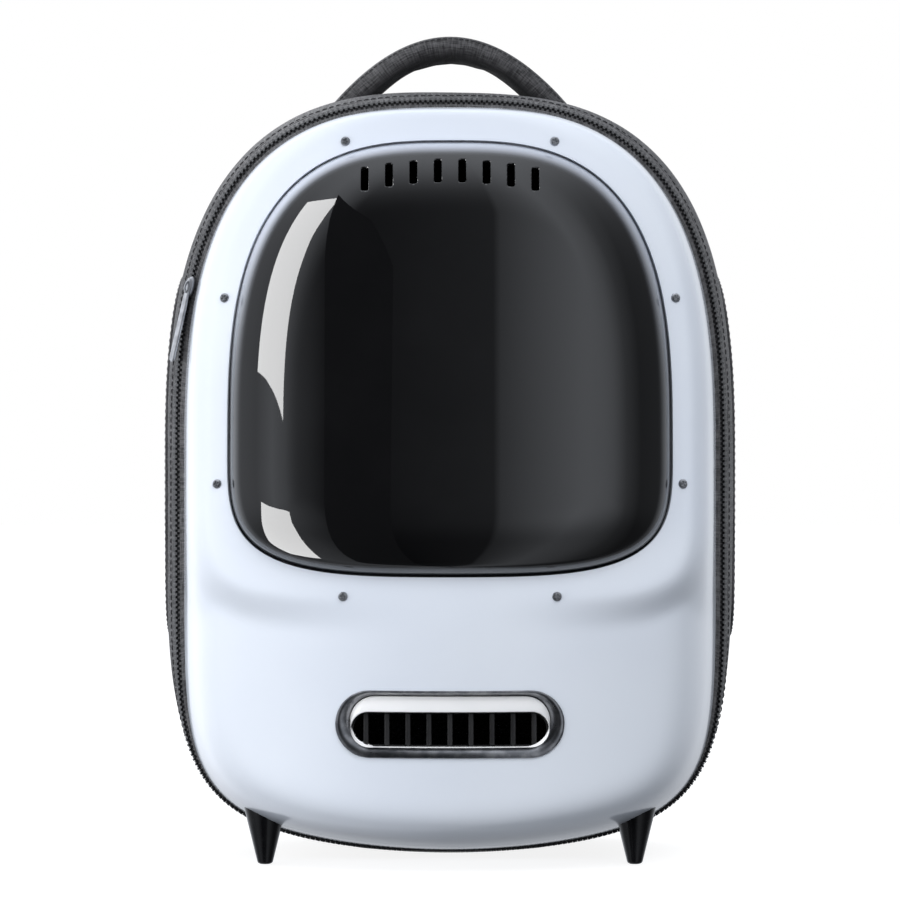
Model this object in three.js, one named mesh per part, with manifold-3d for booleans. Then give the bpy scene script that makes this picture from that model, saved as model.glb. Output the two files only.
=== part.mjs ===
// Pet carrier backpack: a hard front shell with a smoked bubble window and an air inlet, zipped to a soft
// bag with mesh sides, a padded back with shoulder straps, and a carry handle.
// Millimetres, +Z up, the window faces -Y. Depths are counted from the shell's rear edge, positive rearwards.
import * as THREE from "three";
import { mergeVertices } from "three/addons/utils/BufferGeometryUtils.js";
import Module from "manifold-3d";

const wasm = await Module();
wasm.setup();

// Facets and clearances
const fitGap = 0.3;
const mergeReach = 1e-3;
const bodySides = 56;
const denseFactor = 4;
const quarterSteps = 18;

// Outlines seen from the front: half width, crown, height of the widest point, lowest point, how square
// the upper and lower halves are, and how far the lower edge rises towards the sides
const shellOutline = {
  half: 155.3, top: 438, middle: 227, bottom: 5.4, topPower: 2.9, bottomPower: 7, belly: 28,
};
const windowOutline = {
  half: 127, top: 416.5, middle: 246, bottom: 169, topPower: 2.9, bottomPower: 4, belly: 2,
};

// Front shell: its depth at the chin, the lean of the face above and below the chin crease, the crown across
// the face per square millimetre, the flat rim round the window, and how far the rounded edge reaches in as a
// share of the room between the rim and the edge; the core is a place inside the bag behind it
const shell = {
  wall: 2.8, depth: 108, creaseHeight: 150, creaseSoft: 8, windowLean: 0.114, chinLean: 0.06,
  windowCrown: 0.0014, chinCrown: 0.0021, rimWidth: 16, rimSoft: 14,
  reachShare: 1.35, reachLeast: 8, reachMost: 46, rollPower: 5, coreDepth: 60,
  shares: [0, 0.04, 0.12, 0.25, 0.42, 0.65, 1],
  innerRows: [8, 7, 6, 4, 2, 0],
};

// Bubble window: gap to the shell's opening, wall, hidden rim behind the shell, rise of the bubble over the
// rim, width of the rolled edge, and the row of slots cut along its crown
const bubble = {
  gap: 1.2, wall: 2.4, rim: 9, rimGap: 0.7, rise: 17, roll: 40, rollPower: 2.4, centre: 262,
  shares: [0.03, 0.09, 0.18, 0.3, 0.55, 1],
  innerShares: [1, 0.55, 0.3, 0.18, 0.09],
};
const slots = { count: 8, pitch: 13.8, width: 4.5, height: 13.6, level: 398.5, droop: 0.002, cutDepth: 200 };

// Screws through the window rim: the head is domed from its shoulder up
const screw = {
  head: 2.7, headRise: 1.9, dome: 1.6, domeRise: 1.7, shoulder: 0.8, seat: 0.4,
  shank: 1.3, length: 2.8, clearance: 0.3, sides: 8, cut: 6,
};
const screwPlaces = [
  { x: 59.5, z: 416 },
  { x: 128.8, z: 327 },
  { x: 132.6, z: 221 },
  { x: 60.4, z: 158 },
];

// Air inlet: a metal ring, a bezel and a slatted grille that follow the shell's face; lift is height over it
const vent = {
  level: 85.8, sink: -3.1, arcSteps: 8, runSteps: 6,
  holeLength: 127.2, holeHeight: 35.7, cutFront: -160, cutRear: -54,
};
const ventRingSections = [
  { length: 126.5, height: 35, lift: -5.5 },
  { length: 126.5, height: 35, lift: 0.5 },
  { length: 125, height: 33.5, lift: 1.5 },
  { length: 120.5, height: 31.6, lift: 1 },
  { length: 113.8, height: 29.2, lift: -3 },
  { length: 113.8, height: 29.2, lift: -5.5 },
];
const ventBezelSections = [
  { length: 113.2, height: 28.6, lift: -2.4, sink: 0 },
  { length: 109, height: 18.8, lift: -2.8, sink: 1 },
  { length: 109, height: 18.8, lift: -4.6, sink: 1 },
  { length: 113.2, height: 28.6, lift: -4.6, sink: 0 },
];
const ventGrilleSections = [
  { length: 113.2, height: 28.6, lift: -4.9, sink: 0 },
  { length: 107, height: 17.6, lift: -4.9, sink: 1 },
  { length: 107, height: 17.6, lift: -7, sink: 1 },
  { length: 113.2, height: 28.6, lift: -7, sink: 0 },
];
const slats = { count: 9, pitch: 11.9, width: 3.4, height: 18.6, depth: 4, lift: -5.8 };

// Tapered feet under the front shell
const foot = { x: 107, depth: -30, bottom: 4.2, taper: 0.246, post: 46, sides: 16 };

// Soft bag: each row is a section across the depth, with its swell past the shell's outline, the height of
// its lowest point before it is flattened on the floor, the rise of its lower edge and its squareness
const zipSections = [
  { depth: -5, swell: -4.6, base: 10, belly: 28, square: 7 },
  { depth: 0.6, swell: -4, base: 9.4, belly: 28, square: 7 },
  { depth: 7, swell: 2, base: 5.2, belly: 28, square: 6.6 },
  { depth: 22, swell: 8, base: 4.2, belly: 28, square: 6 },
];
const gussetSections = [
  { depth: 22.3, swell: 8, base: 4.2, belly: 28, square: 6 },
  { depth: 40, swell: 11.6, base: 1.2, belly: 32, square: 5.2 },
  { depth: 68, swell: 12.6, base: -4, belly: 38, square: 5 },
  { depth: 112, swell: 10.4, base: -4, belly: 42, square: 5 },
  { depth: 132, swell: 6.5, base: -2, belly: 42, square: 5 },
  { depth: 139.5, swell: 1.5, base: 3, belly: 42, square: 5.5 },
];
const softTopPower = 2.85;
const zipWall = 1.8;
const gussetWall = 3;

// Mesh window in each side of the bag, sewn to the inside of the wall
const mesh = {
  front: 52, rear: 120, low: 132, high: 336, corner: 26, cornerSteps: 5,
  hem: 7, wall: 1.2, rows: 7, columns: 3,
};

// Zip slider and pull tab on the left side
const slider = {
  height: 334, depth: 7.6, length: 12, width: 8, thick: 3.6, lift: 0.9,
  tabLength: 44, tabWidth: 7.5, tabThick: 1.8, tabLift: 1.2, bridge: 4,
};

// Padded back
const back = {
  depth: 139.8, edge: 4, crown: 9.5, power: 6,
  shares: [0, 0.03, 0.09, 0.22, 0.5, 1],
};

// Carry handle: a padded arch across the top of the bag
const handle = {
  depth: 70, apex: 476, drop: 28.5, dropAt: 54, reach: 66, steps: 12,
  wide: 29, thick: 15.6, square: 2.8,
};
const sectionSides = 12;

// Shoulder straps on the right side: places on the back, with the height of the middle plane over it
const padPath = [
  { x: 52, z: 408, lift: 5.8 },
  { x: 54, z: 384, lift: 7 },
  { x: 62, z: 340, lift: 19 },
  { x: 72, z: 285, lift: 27 },
  { x: 80, z: 235, lift: 27 },
  { x: 84, z: 200, lift: 24 },
];
const adjusterPath = [
  { x: 84.3, z: 199.2, lift: 23.9 },
  { x: 86.6, z: 176.5, lift: 21 },
];
const webbingPath = [
  { x: 87, z: 173.6, lift: 20.7 },
  { x: 95, z: 135, lift: 14 },
  { x: 106, z: 92, lift: 6.2 },
  { x: 110, z: 74, lift: 5.1 },
];
const anchorPath = [
  { x: 107, z: 95, lift: 2.2 },
  { x: 114, z: 58, lift: 2.2 },
];
const strap = { padWide: 58, padThick: 10, webWide: 25, webThick: 1.8, square: 5, padSteps: 11, webSteps: 6 };
const anchor = { wide: 34, thick: 3, steps: 3 };
const adjuster = { wide: 36, thick: 5, steps: 2, slotWide: 27, slotHigh: 5, slotStep: 9, cutDepth: 70 };

// Finishes
const finishes = {
  whitePlastic: { color: "#e9edf4", roughness: 0.18, metalness: 0 },
  smokedPlastic: { color: "#191a1c", roughness: 0.06, metalness: 0 },
  steel: { color: "#8d9094", roughness: 0.35, metalness: 1 },
  gunmetal: { color: "#4a4c50", roughness: 0.3, metalness: 1 },
  blackPlastic: { color: "#131314", roughness: 0.35, metalness: 0 },
  fabric: { color: "#3b3b3f", roughness: 0.9, metalness: 0 },
  meshFabric: { color: "#2a2a2d", roughness: 0.85, metalness: 0 },
  webbing: { color: "#202022", roughness: 0.8, metalness: 0 },
  zipMetal: { color: "#a2a3a6", roughness: 0.4, metalness: 1 },
};

const backpack = new THREE.Group();

function addPiece(name, geometry, finish) {
  const piece = new THREE.Mesh(geometry, new THREE.MeshStandardMaterial(finishes[finish]));
  piece.name = name;
  backpack.add(piece);
  return piece;
}

// Outlines

function grown(outline, by) {
  return { ...outline, half: outline.half + by, top: outline.top + by, bottom: outline.bottom - by };
}

// A quarter runs from the side to the crown or the foot of the outline, evenly spaced along its length
function quarter(outline, upper, count) {
  const power = upper ? outline.topPower : outline.bottomPower;
  const points = [];
  for (let step = 0; step <= quarterSteps; step += 1) {
    const turn = (Math.PI / 2) * (step / quarterSteps);
    const across = Math.cos(turn);
    const along = Math.sin(turn);
    const reach = (across ** power + along ** power) ** (-1 / power);
    const x = outline.half * reach * across;
    const rise = outline.belly * (x / outline.half) ** 2;
    const height = upper ? outline.top - outline.middle : outline.bottom + rise - outline.middle;
    points.push(new THREE.Vector3(x, 0, outline.middle + height * reach * along));
  }
  return new THREE.CatmullRomCurve3(points).getSpacedPoints(count);
}

function outlineRing(outline, sides = bodySides) {
  const mirrored = (point) => new THREE.Vector3(-point.x, 0, point.z);
  const upper = quarter(outline, true, sides / 4);
  const lower = quarter(outline, false, sides / 4);
  return [
    ...upper.slice(0, -1),
    ...upper.slice(1).reverse().map(mirrored),
    ...lower.slice(0, -1).map(mirrored),
    ...lower.slice(1).reverse(),
  ];
}

function distanceTo(ring, x, z) {
  const place = new THREE.Vector3(x, 0, z);
  const nearest = new THREE.Vector3();
  const side = new THREE.Line3();
  let least = Infinity;
  ring.forEach((start, index) => {
    side.set(start, ring[(index + 1) % ring.length]);
    side.closestPointToPoint(place, true, nearest);
    least = Math.min(least, nearest.distanceTo(place));
  });
  return least;
}

// Closed solids

function signedVolume(geometry) {
  const position = geometry.getAttribute("position");
  const index = geometry.getIndex();
  const corners = [new THREE.Vector3(), new THREE.Vector3(), new THREE.Vector3()];
  let volume = 0;
  for (let start = 0; start < index.count; start += 3) {
    corners.forEach((corner, offset) => corner.fromBufferAttribute(position, index.getX(start + offset)));
    volume += corners[0].dot(corners[1].cross(corners[2])) / 6;
  }
  return volume;
}

// Keeps position alone, joins equal corners, drops collapsed triangles and turns the faces outwards
function closed(geometry) {
  const bare = geometry.clone();
  bare.deleteAttribute("normal");
  bare.deleteAttribute("uv");
  const joined = mergeVertices(bare, mergeReach);
  const corners = Array.from(joined.getIndex().array);
  const kept = [];
  for (let start = 0; start < corners.length; start += 3) {
    const triangle = corners.slice(start, start + 3);
    if (new Set(triangle).size === 3) kept.push(...triangle);
  }
  joined.setIndex(kept);
  if (signedVolume(joined) < 0) joined.setIndex(kept.reverse());
  return joined;
}

// A skin through rings of points; the last ring joins the first when looped, or else both ends are capped
function loft(rings, looped) {
  const sides = rings[0].length;
  const points = rings.flat();
  const index = [];
  const spans = looped ? rings.length : rings.length - 1;
  for (let row = 0; row < spans; row += 1) {
    for (let side = 0; side < sides; side += 1) {
      const next = (side + 1) % sides;
      const near = row * sides;
      const far = ((row + 1) % rings.length) * sides;
      index.push(near + side, near + next, far + next, near + side, far + next, far + side);
    }
  }
  if (!looped) {
    [0, rings.length - 1].forEach((row, end) => {
      const middle = points.length;
      points.push(rings[row].reduce((sum, point) => sum.add(point), new THREE.Vector3()).divideScalar(sides));
      for (let side = 0; side < sides; side += 1) {
        const edge = [row * sides + side, row * sides + ((side + 1) % sides)];
        index.push(middle, edge[1 - end], edge[end]);
      }
    });
  }
  const geometry = new THREE.BufferGeometry().setFromPoints(points);
  geometry.setIndex(index);
  return closed(geometry);
}

// Moves every ring of a skin by a distance along its normal, away from the core when positive
function offsetRings(rings, core, distance) {
  const sides = rings[0].length;
  return rings.map((ring, row) => {
    const before = rings[Math.max(row - 1, 0)];
    const after = rings[Math.min(row + 1, rings.length - 1)];
    return ring.map((point, side) => {
      const along = after[side].clone().sub(before[side]);
      const around = ring[(side + 1) % sides].clone().sub(ring[(side + sides - 1) % sides]);
      const normal = along.cross(around).normalize();
      const outward = Math.sign(normal.dot(point.clone().sub(core)));
      return point.clone().addScaledVector(normal, outward * distance);
    });
  });
}

function toSolid(geometry) {
  const clean = closed(geometry.index ? geometry : mergeVertices(geometry));
  return new wasm.Manifold(new wasm.Mesh({
    numProp: 3,
    vertProperties: new Float32Array(clean.getAttribute("position").array),
    triVerts: new Uint32Array(clean.getIndex().array),
  }));
}

function fromSolid(solid) {
  const result = solid.getMesh();
  const geometry = new THREE.BufferGeometry();
  geometry.setAttribute("position", new THREE.BufferAttribute(result.vertProperties, 3));
  geometry.setIndex(new THREE.BufferAttribute(result.triVerts, 1));
  return geometry;
}

// A box from its lengths along X, Y and Z and its middle
function block(lengths, middle) {
  return new THREE.BoxGeometry(...lengths).translate(...middle);
}

// Front shell surface

const shellDense = outlineRing(shellOutline, bodySides * denseFactor);
const windowDense = outlineRing(windowOutline, bodySides * denseFactor);

function softRamp(value, soft) {
  return soft * Math.log(1 + Math.exp(value / soft));
}

// Forward depth of the face at a place, before its edge is rolled back
function faceDepth(x, z, fromWindow) {
  const above = softRamp(z - shell.creaseHeight, shell.creaseSoft);
  const below = softRamp(shell.creaseHeight - z, shell.creaseSoft);
  const rimEnds = [shell.rimWidth - shell.rimSoft / 2, shell.rimWidth + shell.rimSoft];
  const outside = THREE.MathUtils.smoothstep(fromWindow, ...rimEnds);
  const crown = THREE.MathUtils.lerp(shell.windowCrown, shell.chinCrown, outside);
  return shell.depth - shell.windowLean * above - shell.chinLean * below - crown * x * x;
}

function shellDepth(x, z) {
  const edge = distanceTo(shellDense, x, z);
  const fromWindow = distanceTo(windowDense, x, z);
  const room = edge + fromWindow - shell.rimWidth;
  const reach = THREE.MathUtils.clamp(shell.reachShare * room, shell.reachLeast, shell.reachMost);
  const roll = 1 - Math.max(0, 1 - edge / reach) ** shell.rollPower;
  return faceDepth(x, z, fromWindow) * roll;
}

// A point standing off the shell's face by a lift
function onShell(x, z, lift) {
  return new THREE.Vector3(x, -shellDepth(x, z) - lift, z);
}

function shellNormal(x, z) {
  const step = 1;
  const across = onShell(x + step, z, 0).sub(onShell(x - step, z, 0));
  const up = onShell(x, z + step, 0).sub(onShell(x, z - step, 0));
  return across.cross(up).normalize();
}

const shellEdge = outlineRing(shellOutline);
const rimEdge = outlineRing(grown(windowOutline, shell.rimWidth));
const shellCore = new THREE.Vector3(0, shell.coreDepth, shellOutline.middle);
const shellRings = [
  ...shell.shares.map((share) => shellEdge.map((edge, side) => edge.clone().lerp(rimEdge[side], share))),
  outlineRing(grown(windowOutline, shell.rimWidth / 2)),
  outlineRing(windowOutline),
].map((ring) => ring.map(({ x, z }) => onShell(x, z, 0)));

function pillRing({ length, height, lift, sink = 0 }, place) {
  const radius = height / 2;
  const run = (length - height) / 2;
  const level = vent.level + sink * vent.sink;
  const ring = [];
  [1, -1].forEach((end) => {
    for (let step = 0; step < vent.arcSteps; step += 1) {
      const turn = Math.PI * (step / vent.arcSteps - 0.5);
      ring.push(place(end * (run + radius * Math.cos(turn)), level + end * radius * Math.sin(turn), lift));
    }
    for (let step = 0; step < vent.runSteps; step += 1) {
      ring.push(place(end * run * (1 - (2 * step) / vent.runSteps), level + end * radius, lift));
    }
  });
  return ring;
}

const screwAxis = new THREE.Vector3(0, 1, 0);
const screwSpots = [1, -1].flatMap((side) => screwPlaces.map(({ x, z }) => {
  const normal = shellNormal(side * x, z);
  const turn = new THREE.Quaternion().setFromUnitVectors(screwAxis, normal);
  return { place: onShell(side * x, z, 0), turn };
}));

function makeShell() {
  const inner = offsetRings(shellRings, shellCore, -shell.wall);
  const innerRings = shell.innerRows.map((row) => inner[row]);
  let solid = toSolid(loft([...shellRings, ...innerRings], true));
  const hole = { length: vent.holeLength, height: vent.holeHeight };
  const front = pillRing(hole, (x, z) => new THREE.Vector3(x, vent.cutFront, z));
  const rear = pillRing(hole, (x, z) => new THREE.Vector3(x, vent.cutRear, z));
  solid = solid.subtract(toSolid(loft([front, rear], false)));
  screwSpots.forEach(({ place, turn }) => {
    const radius = screw.shank + screw.clearance;
    const drill = new THREE.CylinderGeometry(radius, radius, 2 * screw.cut, screw.sides);
    drill.applyQuaternion(turn).translate(place.x, place.y, place.z);
    solid = solid.subtract(toSolid(drill));
  });
  return fromSolid(solid);
}

// Bubble window

function bubbleDepth(x, z) {
  const inside = Math.max(0, distanceTo(windowDense, x, z) - bubble.gap);
  const rise = 1 - Math.max(0, 1 - inside / bubble.roll) ** bubble.rollPower;
  return faceDepth(x, z, 0) + bubble.rise * rise;
}

function makeWindow() {
  const hiddenEdge = outlineRing(grown(windowOutline, bubble.rim));
  const outerEdge = outlineRing(grown(windowOutline, -bubble.gap));
  const innerEdge = outlineRing(grown(windowOutline, -bubble.gap - bubble.wall));
  const middle = new THREE.Vector3(0, 0, bubble.centre);
  const behind = shell.wall + bubble.rimGap;
  const atShell = (ring, back) => ring.map(({ x, z }) => {
    return onShell(x, z, 0).addScaledVector(shellNormal(x, z), -back);
  });
  const atFace = (ring, back) => ring.map(({ x, z }) => new THREE.Vector3(x, back - faceDepth(x, z, 0), z));
  const skin = bubble.shares.map((share) => outerEdge.map((edge) => {
    const { x, z } = edge.clone().lerp(middle, share);
    return new THREE.Vector3(x, -bubbleDepth(x, z), z);
  }));
  const inner = offsetRings(skin, middle, -bubble.wall);
  inner[inner.length - 1] = skin[skin.length - 1].map((point) => point.clone().setY(point.y + bubble.wall));
  const rings = [
    atShell(hiddenEdge, behind),
    atFace(outerEdge, behind),
    atFace(outerEdge, 0),
    ...skin,
    ...bubble.innerShares.map((share) => inner[bubble.shares.indexOf(share)]),
    atFace(innerEdge, 0),
    atFace(innerEdge, behind + bubble.wall),
    atShell(hiddenEdge, behind + bubble.wall),
  ];
  let solid = toSolid(loft(rings, true));
  for (let slot = 0; slot < slots.count; slot += 1) {
    const x = slots.pitch * (slot - (slots.count - 1) / 2);
    const z = slots.level - slots.droop * x * x;
    const cut = block([slots.width, slots.cutDepth, slots.height], [x, -slots.cutDepth / 2, z]);
    solid = solid.subtract(toSolid(cut));
  }
  return fromSolid(solid);
}

function makeScrew({ place, turn }) {
  const profile = [
    [0, screw.headRise],
    [screw.dome, screw.domeRise],
    [screw.head, screw.shoulder],
    [screw.head, screw.seat],
    [screw.shank, screw.seat],
    [screw.shank, -screw.length],
    [0, -screw.length],
  ].map(([radius, height]) => new THREE.Vector2(radius, height));
  const turned = closed(new THREE.LatheGeometry(profile, screw.sides));
  return turned.applyQuaternion(turn).translate(place.x, place.y, place.z);
}

// Air inlet

function ventPiece(sections) {
  return loft(sections.map((section) => pillRing(section, onShell)), true);
}

function makeGrille() {
  let solid = toSolid(ventPiece(ventGrilleSections));
  const level = vent.level + vent.sink;
  for (let slat = 0; slat < slats.count; slat += 1) {
    const x = slats.pitch * (slat - (slats.count - 1) / 2);
    const front = onShell(x, level, slats.lift);
    const bar = block([slats.width, slats.depth, slats.height], [x, front.y + slats.depth / 2, level]);
    solid = solid.add(toSolid(bar));
  }
  return fromSolid(solid);
}

// Feet are tapered posts whose tops follow the underside of the shell

function makeFoot(side) {
  const envelope = loft(offsetRings(shellRings, shellCore, fitGap), false);
  const upper = foot.bottom + foot.taper * foot.post;
  const post = new THREE.CylinderGeometry(upper, foot.bottom, foot.post, foot.sides);
  post.rotateX(Math.PI / 2).translate(side * foot.x, foot.depth, foot.post / 2);
  return fromSolid(toSolid(post).subtract(toSolid(envelope)));
}

// Soft bag

function softRings(sections) {
  return sections.map(({ depth, swell, base, belly, square }) => {
    const outline = {
      ...grown(shellOutline, swell), bottom: base, belly, topPower: softTopPower, bottomPower: square,
    };
    return outlineRing(outline).map(({ x, z }) => new THREE.Vector3(x, depth, Math.max(z, 0)));
  });
}

function wallOf(rings, wall) {
  const core = rings[0].reduce((sum, point) => sum.add(point), new THREE.Vector3()).divideScalar(bodySides);
  core.y = (rings[0][0].y + rings[rings.length - 1][0].y) / 2;
  const inner = offsetRings(rings, core, -wall).map((ring, row) => {
    return ring.map((point) => point.setY(rings[row][0].y));
  });
  return [...rings, ...inner.reverse()];
}

// A rounded rectangle in depth and height, carried sideways through one side of the bag
function meshCut(side) {
  const run = {
    depth: (mesh.rear - mesh.front) / 2 - mesh.corner,
    height: (mesh.high - mesh.low) / 2 - mesh.corner,
  };
  const middle = { depth: (mesh.front + mesh.rear) / 2, height: (mesh.low + mesh.high) / 2 };
  const shape = new THREE.Shape();
  shape.absarc(run.depth, run.height, mesh.corner, 0, Math.PI / 2);
  shape.absarc(-run.depth, run.height, mesh.corner, Math.PI / 2, Math.PI);
  shape.absarc(-run.depth, -run.height, mesh.corner, Math.PI, 1.5 * Math.PI);
  shape.absarc(run.depth, -run.height, mesh.corner, 1.5 * Math.PI, 2 * Math.PI);
  const length = shellOutline.half;
  const settings = { depth: length, bevelEnabled: false, curveSegments: mesh.cornerSteps };
  const cut = new THREE.ExtrudeGeometry(shape, settings);
  cut.rotateX(Math.PI / 2).rotateZ(Math.PI / 2);
  cut.translate(side > 0 ? length / 2 : -1.5 * length, middle.depth, middle.height);
  return cut;
}

const gussetRings = softRings(gussetSections);

function makeGusset() {
  let solid = toSolid(loft(wallOf(gussetRings, gussetWall), true));
  [1, -1].forEach((side) => {
    solid = solid.subtract(toSolid(meshCut(side)));
  });
  return fromSolid(solid);
}

// Half width of the bag at a depth and height, read between its sections
function bagHalf(depth, z) {
  const last = gussetSections.findIndex((section) => section.depth >= depth);
  const sections = [gussetSections[last - 1], gussetSections[last]];
  const halves = sections.map(({ swell, base, belly, square }) => {
    const upper = z > shellOutline.middle;
    const end = upper ? shellOutline.top + swell : base + belly;
    const height = Math.abs(end - shellOutline.middle);
    const power = upper ? softTopPower : square;
    const level = Math.abs(z - shellOutline.middle) / height;
    return (shellOutline.half + swell) * (1 - level ** power) ** (1 / power);
  });
  const share = (depth - sections[0].depth) / (sections[1].depth - sections[0].depth);
  return THREE.MathUtils.lerp(halves[0], halves[1], share);
}

// A thin sheet just inside the wall, larger than its opening by the hem
function makeMesh(side) {
  const inset = gussetWall + 2 * fitGap;
  const sheet = (depth) => {
    const ring = [];
    for (let row = 0; row <= mesh.rows; row += 1) {
      const z = THREE.MathUtils.lerp(mesh.low - mesh.hem, mesh.high + mesh.hem, row / mesh.rows);
      ring.push(new THREE.Vector3(side * (bagHalf(depth, z) - inset), depth, z));
    }
    for (let row = mesh.rows; row >= 0; row -= 1) {
      ring.push(ring[row].clone().setX(ring[row].x - side * mesh.wall));
    }
    return ring;
  };
  const rings = [];
  for (let column = 0; column <= mesh.columns; column += 1) {
    const share = column / mesh.columns;
    rings.push(sheet(THREE.MathUtils.lerp(mesh.front - mesh.hem, mesh.rear + mesh.hem, share)));
  }
  return loft(rings, false);
}

// Slider body, bridge and pull tab, built flat and laid on the zip: X across it, Y off it, Z along it
function makeSlider() {
  const zipRows = zipSections.filter((section) => section.depth > 0);
  const place = (depth, z) => {
    const share = (depth - zipRows[1].depth) / (zipRows[2].depth - zipRows[1].depth);
    const swell = THREE.MathUtils.lerp(zipRows[1].swell, zipRows[2].swell, share);
    const height = shellOutline.top + swell - shellOutline.middle;
    const level = (z - shellOutline.middle) / height;
    const half = (shellOutline.half + swell) * (1 - level ** softTopPower) ** (1 / softTopPower);
    return new THREE.Vector3(-half, depth, z);
  };
  const spot = place(slider.depth, slider.height);
  const along = place(slider.depth, slider.height + 1).sub(spot).normalize();
  const across = place(slider.depth + 1, slider.height).sub(spot).normalize();
  const off = along.clone().cross(across).normalize();
  const side = off.clone().cross(along).normalize();
  const tabLow = -slider.length / 2 - slider.tabLength + slider.bridge;
  const tabMiddle = (tabLow + slider.bridge) / 2;
  const bodyMiddle = slider.lift + slider.thick / 2;
  const tabOff = slider.lift + slider.tabLift + slider.tabThick / 2;
  const parts = [
    block([slider.width, slider.thick, slider.length], [0, bodyMiddle, 0]),
    block([slider.tabWidth, slider.tabThick, slider.bridge - tabLow], [0, tabOff, tabMiddle]),
    block([slider.bridge, slider.thick, slider.bridge], [0, slider.lift + slider.thick, 0]),
  ];
  const solid = parts.map(toSolid).reduce((sum, part) => sum.add(part));
  const geometry = fromSolid(solid);
  return geometry.applyMatrix4(new THREE.Matrix4().makeBasis(side, off, along).setPosition(spot));
}

// Padded back

const backOutline = gussetSections[gussetSections.length - 1];

function backRise(share) {
  return back.edge + back.crown * (1 - (1 - share) ** back.power);
}

function makeBack() {
  const [edge] = softRings([{ ...backOutline, depth: back.depth }]);
  const middle = new THREE.Vector3(0, back.depth, shellOutline.middle);
  const rear = back.shares.map((share) => edge.map((point) => {
    return point.clone().lerp(middle, share).setY(back.depth + backRise(share));
  }));
  return loft([edge, ...rear], false);
}

// Depth of the padded back's rear face at a place
function backDepth(x, z) {
  const upper = z > shellOutline.middle;
  const end = upper ? shellOutline.top + backOutline.swell : backOutline.base;
  const height = Math.abs(end - shellOutline.middle);
  const power = upper ? softTopPower : backOutline.square;
  const half = shellOutline.half + backOutline.swell;
  const level = Math.abs(z - shellOutline.middle) / height;
  const out = ((Math.abs(x) / half) ** power + level ** power) ** (1 / power);
  return back.depth + backRise(1 - out);
}

// Padded and woven strips

// A rounded section carried along a path, its width lying along one direction
function strip(points, widthAxis, wide, thick, square) {
  const rings = points.map((point, step) => {
    const before = points[Math.max(step - 1, 0)];
    const after = points[Math.min(step + 1, points.length - 1)];
    const tangent = after.clone().sub(before).normalize();
    const flat = widthAxis.clone().addScaledVector(tangent, -widthAxis.dot(tangent)).normalize();
    const off = tangent.clone().cross(flat);
    const ring = [];
    for (let side = 0; side < sectionSides; side += 1) {
      const turn = (2 * Math.PI * (side + 0.5)) / sectionSides;
      const across = Math.cos(turn);
      const up = Math.sin(turn);
      const reach = (Math.abs(across) ** square + Math.abs(up) ** square) ** (-1 / square);
      const corner = point.clone().addScaledVector(flat, (wide / 2) * reach * across);
      ring.push(corner.addScaledVector(off, (thick / 2) * reach * up));
    }
    return ring;
  });
  return loft(rings, false);
}

function makeHandle() {
  const points = [];
  for (let step = 0; step <= handle.steps; step += 1) {
    const x = handle.reach * ((2 * step) / handle.steps - 1);
    points.push(new THREE.Vector3(x, handle.depth, handle.apex - handle.drop * (x / handle.dropAt) ** 2));
  }
  const arch = strip(points, new THREE.Vector3(0, 1, 0), handle.wide, handle.thick, handle.square);
  const core = new THREE.Vector3(0, handle.depth, shellOutline.middle);
  const bag = loft(offsetRings(gussetRings, core, fitGap), false);
  return fromSolid(toSolid(arch).subtract(toSolid(bag)));
}

function strapStrip(path, side, steps, wide, thick) {
  const knots = path.map(({ x, z, lift }) => new THREE.Vector3(side * x, backDepth(x, z) + lift, z));
  const points = new THREE.CatmullRomCurve3(knots).getSpacedPoints(steps);
  return strip(points, new THREE.Vector3(1, 0, 0), wide, thick, strap.square);
}

// A ladder buckle: a flat frame with two slots for the webbing
function makeAdjuster(side) {
  let solid = toSolid(strapStrip(adjusterPath, side, adjuster.steps, adjuster.wide, adjuster.thick));
  const [upper, lower] = adjusterPath;
  const x = (upper.x + lower.x) / 2;
  const z = (upper.z + lower.z) / 2;
  [1, -1].forEach((end) => {
    const place = [side * x, backDepth(x, z), z + (end * adjuster.slotStep) / 2];
    const cut = block([adjuster.slotWide, adjuster.cutDepth, adjuster.slotHigh], place);
    solid = solid.subtract(toSolid(cut));
  });
  return fromSolid(solid);
}

// Assembly

addPiece("front_shell", makeShell(), "whitePlastic");
addPiece("window", makeWindow(), "smokedPlastic");
screwSpots.forEach((spot, index) => {
  addPiece(`window_screw_${index + 1}`, makeScrew(spot), "steel");
});
addPiece("vent_ring", ventPiece(ventRingSections), "gunmetal");
addPiece("vent_bezel", ventPiece(ventBezelSections), "whitePlastic");
addPiece("vent_grille", makeGrille(), "blackPlastic");
addPiece("zip_band", loft(wallOf(softRings(zipSections), zipWall), true), "fabric");
addPiece("zip_slider", makeSlider(), "zipMetal");
addPiece("gusset", makeGusset(), "fabric");
addPiece("back_panel", makeBack(), "fabric");
addPiece("carry_handle", makeHandle(), "fabric");
[{ side: 1, word: "right" }, { side: -1, word: "left" }].forEach(({ side, word }) => {
  addPiece(`front_foot_${word}`, makeFoot(side), "blackPlastic");
  addPiece(`mesh_panel_${word}`, makeMesh(side), "meshFabric");
  const pad = strapStrip(padPath, side, strap.padSteps, strap.padWide, strap.padThick);
  addPiece(`strap_pad_${word}`, pad, "fabric");
  addPiece(`strap_adjuster_${word}`, makeAdjuster(side), "blackPlastic");
  const webbing = strapStrip(webbingPath, side, strap.webSteps, strap.webWide, strap.webThick);
  addPiece(`strap_webbing_${word}`, webbing, "webbing");
  const patch = strapStrip(anchorPath, side, anchor.steps, anchor.wide, anchor.thick);
  addPiece(`strap_anchor_${word}`, patch, "fabric");
});

// The origin lies under the middle of the whole
const bounds = new THREE.Box3().setFromObject(backpack);
backpack.position.set(0, -(bounds.min.y + bounds.max.y) / 2, 0);

export default backpack;
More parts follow.
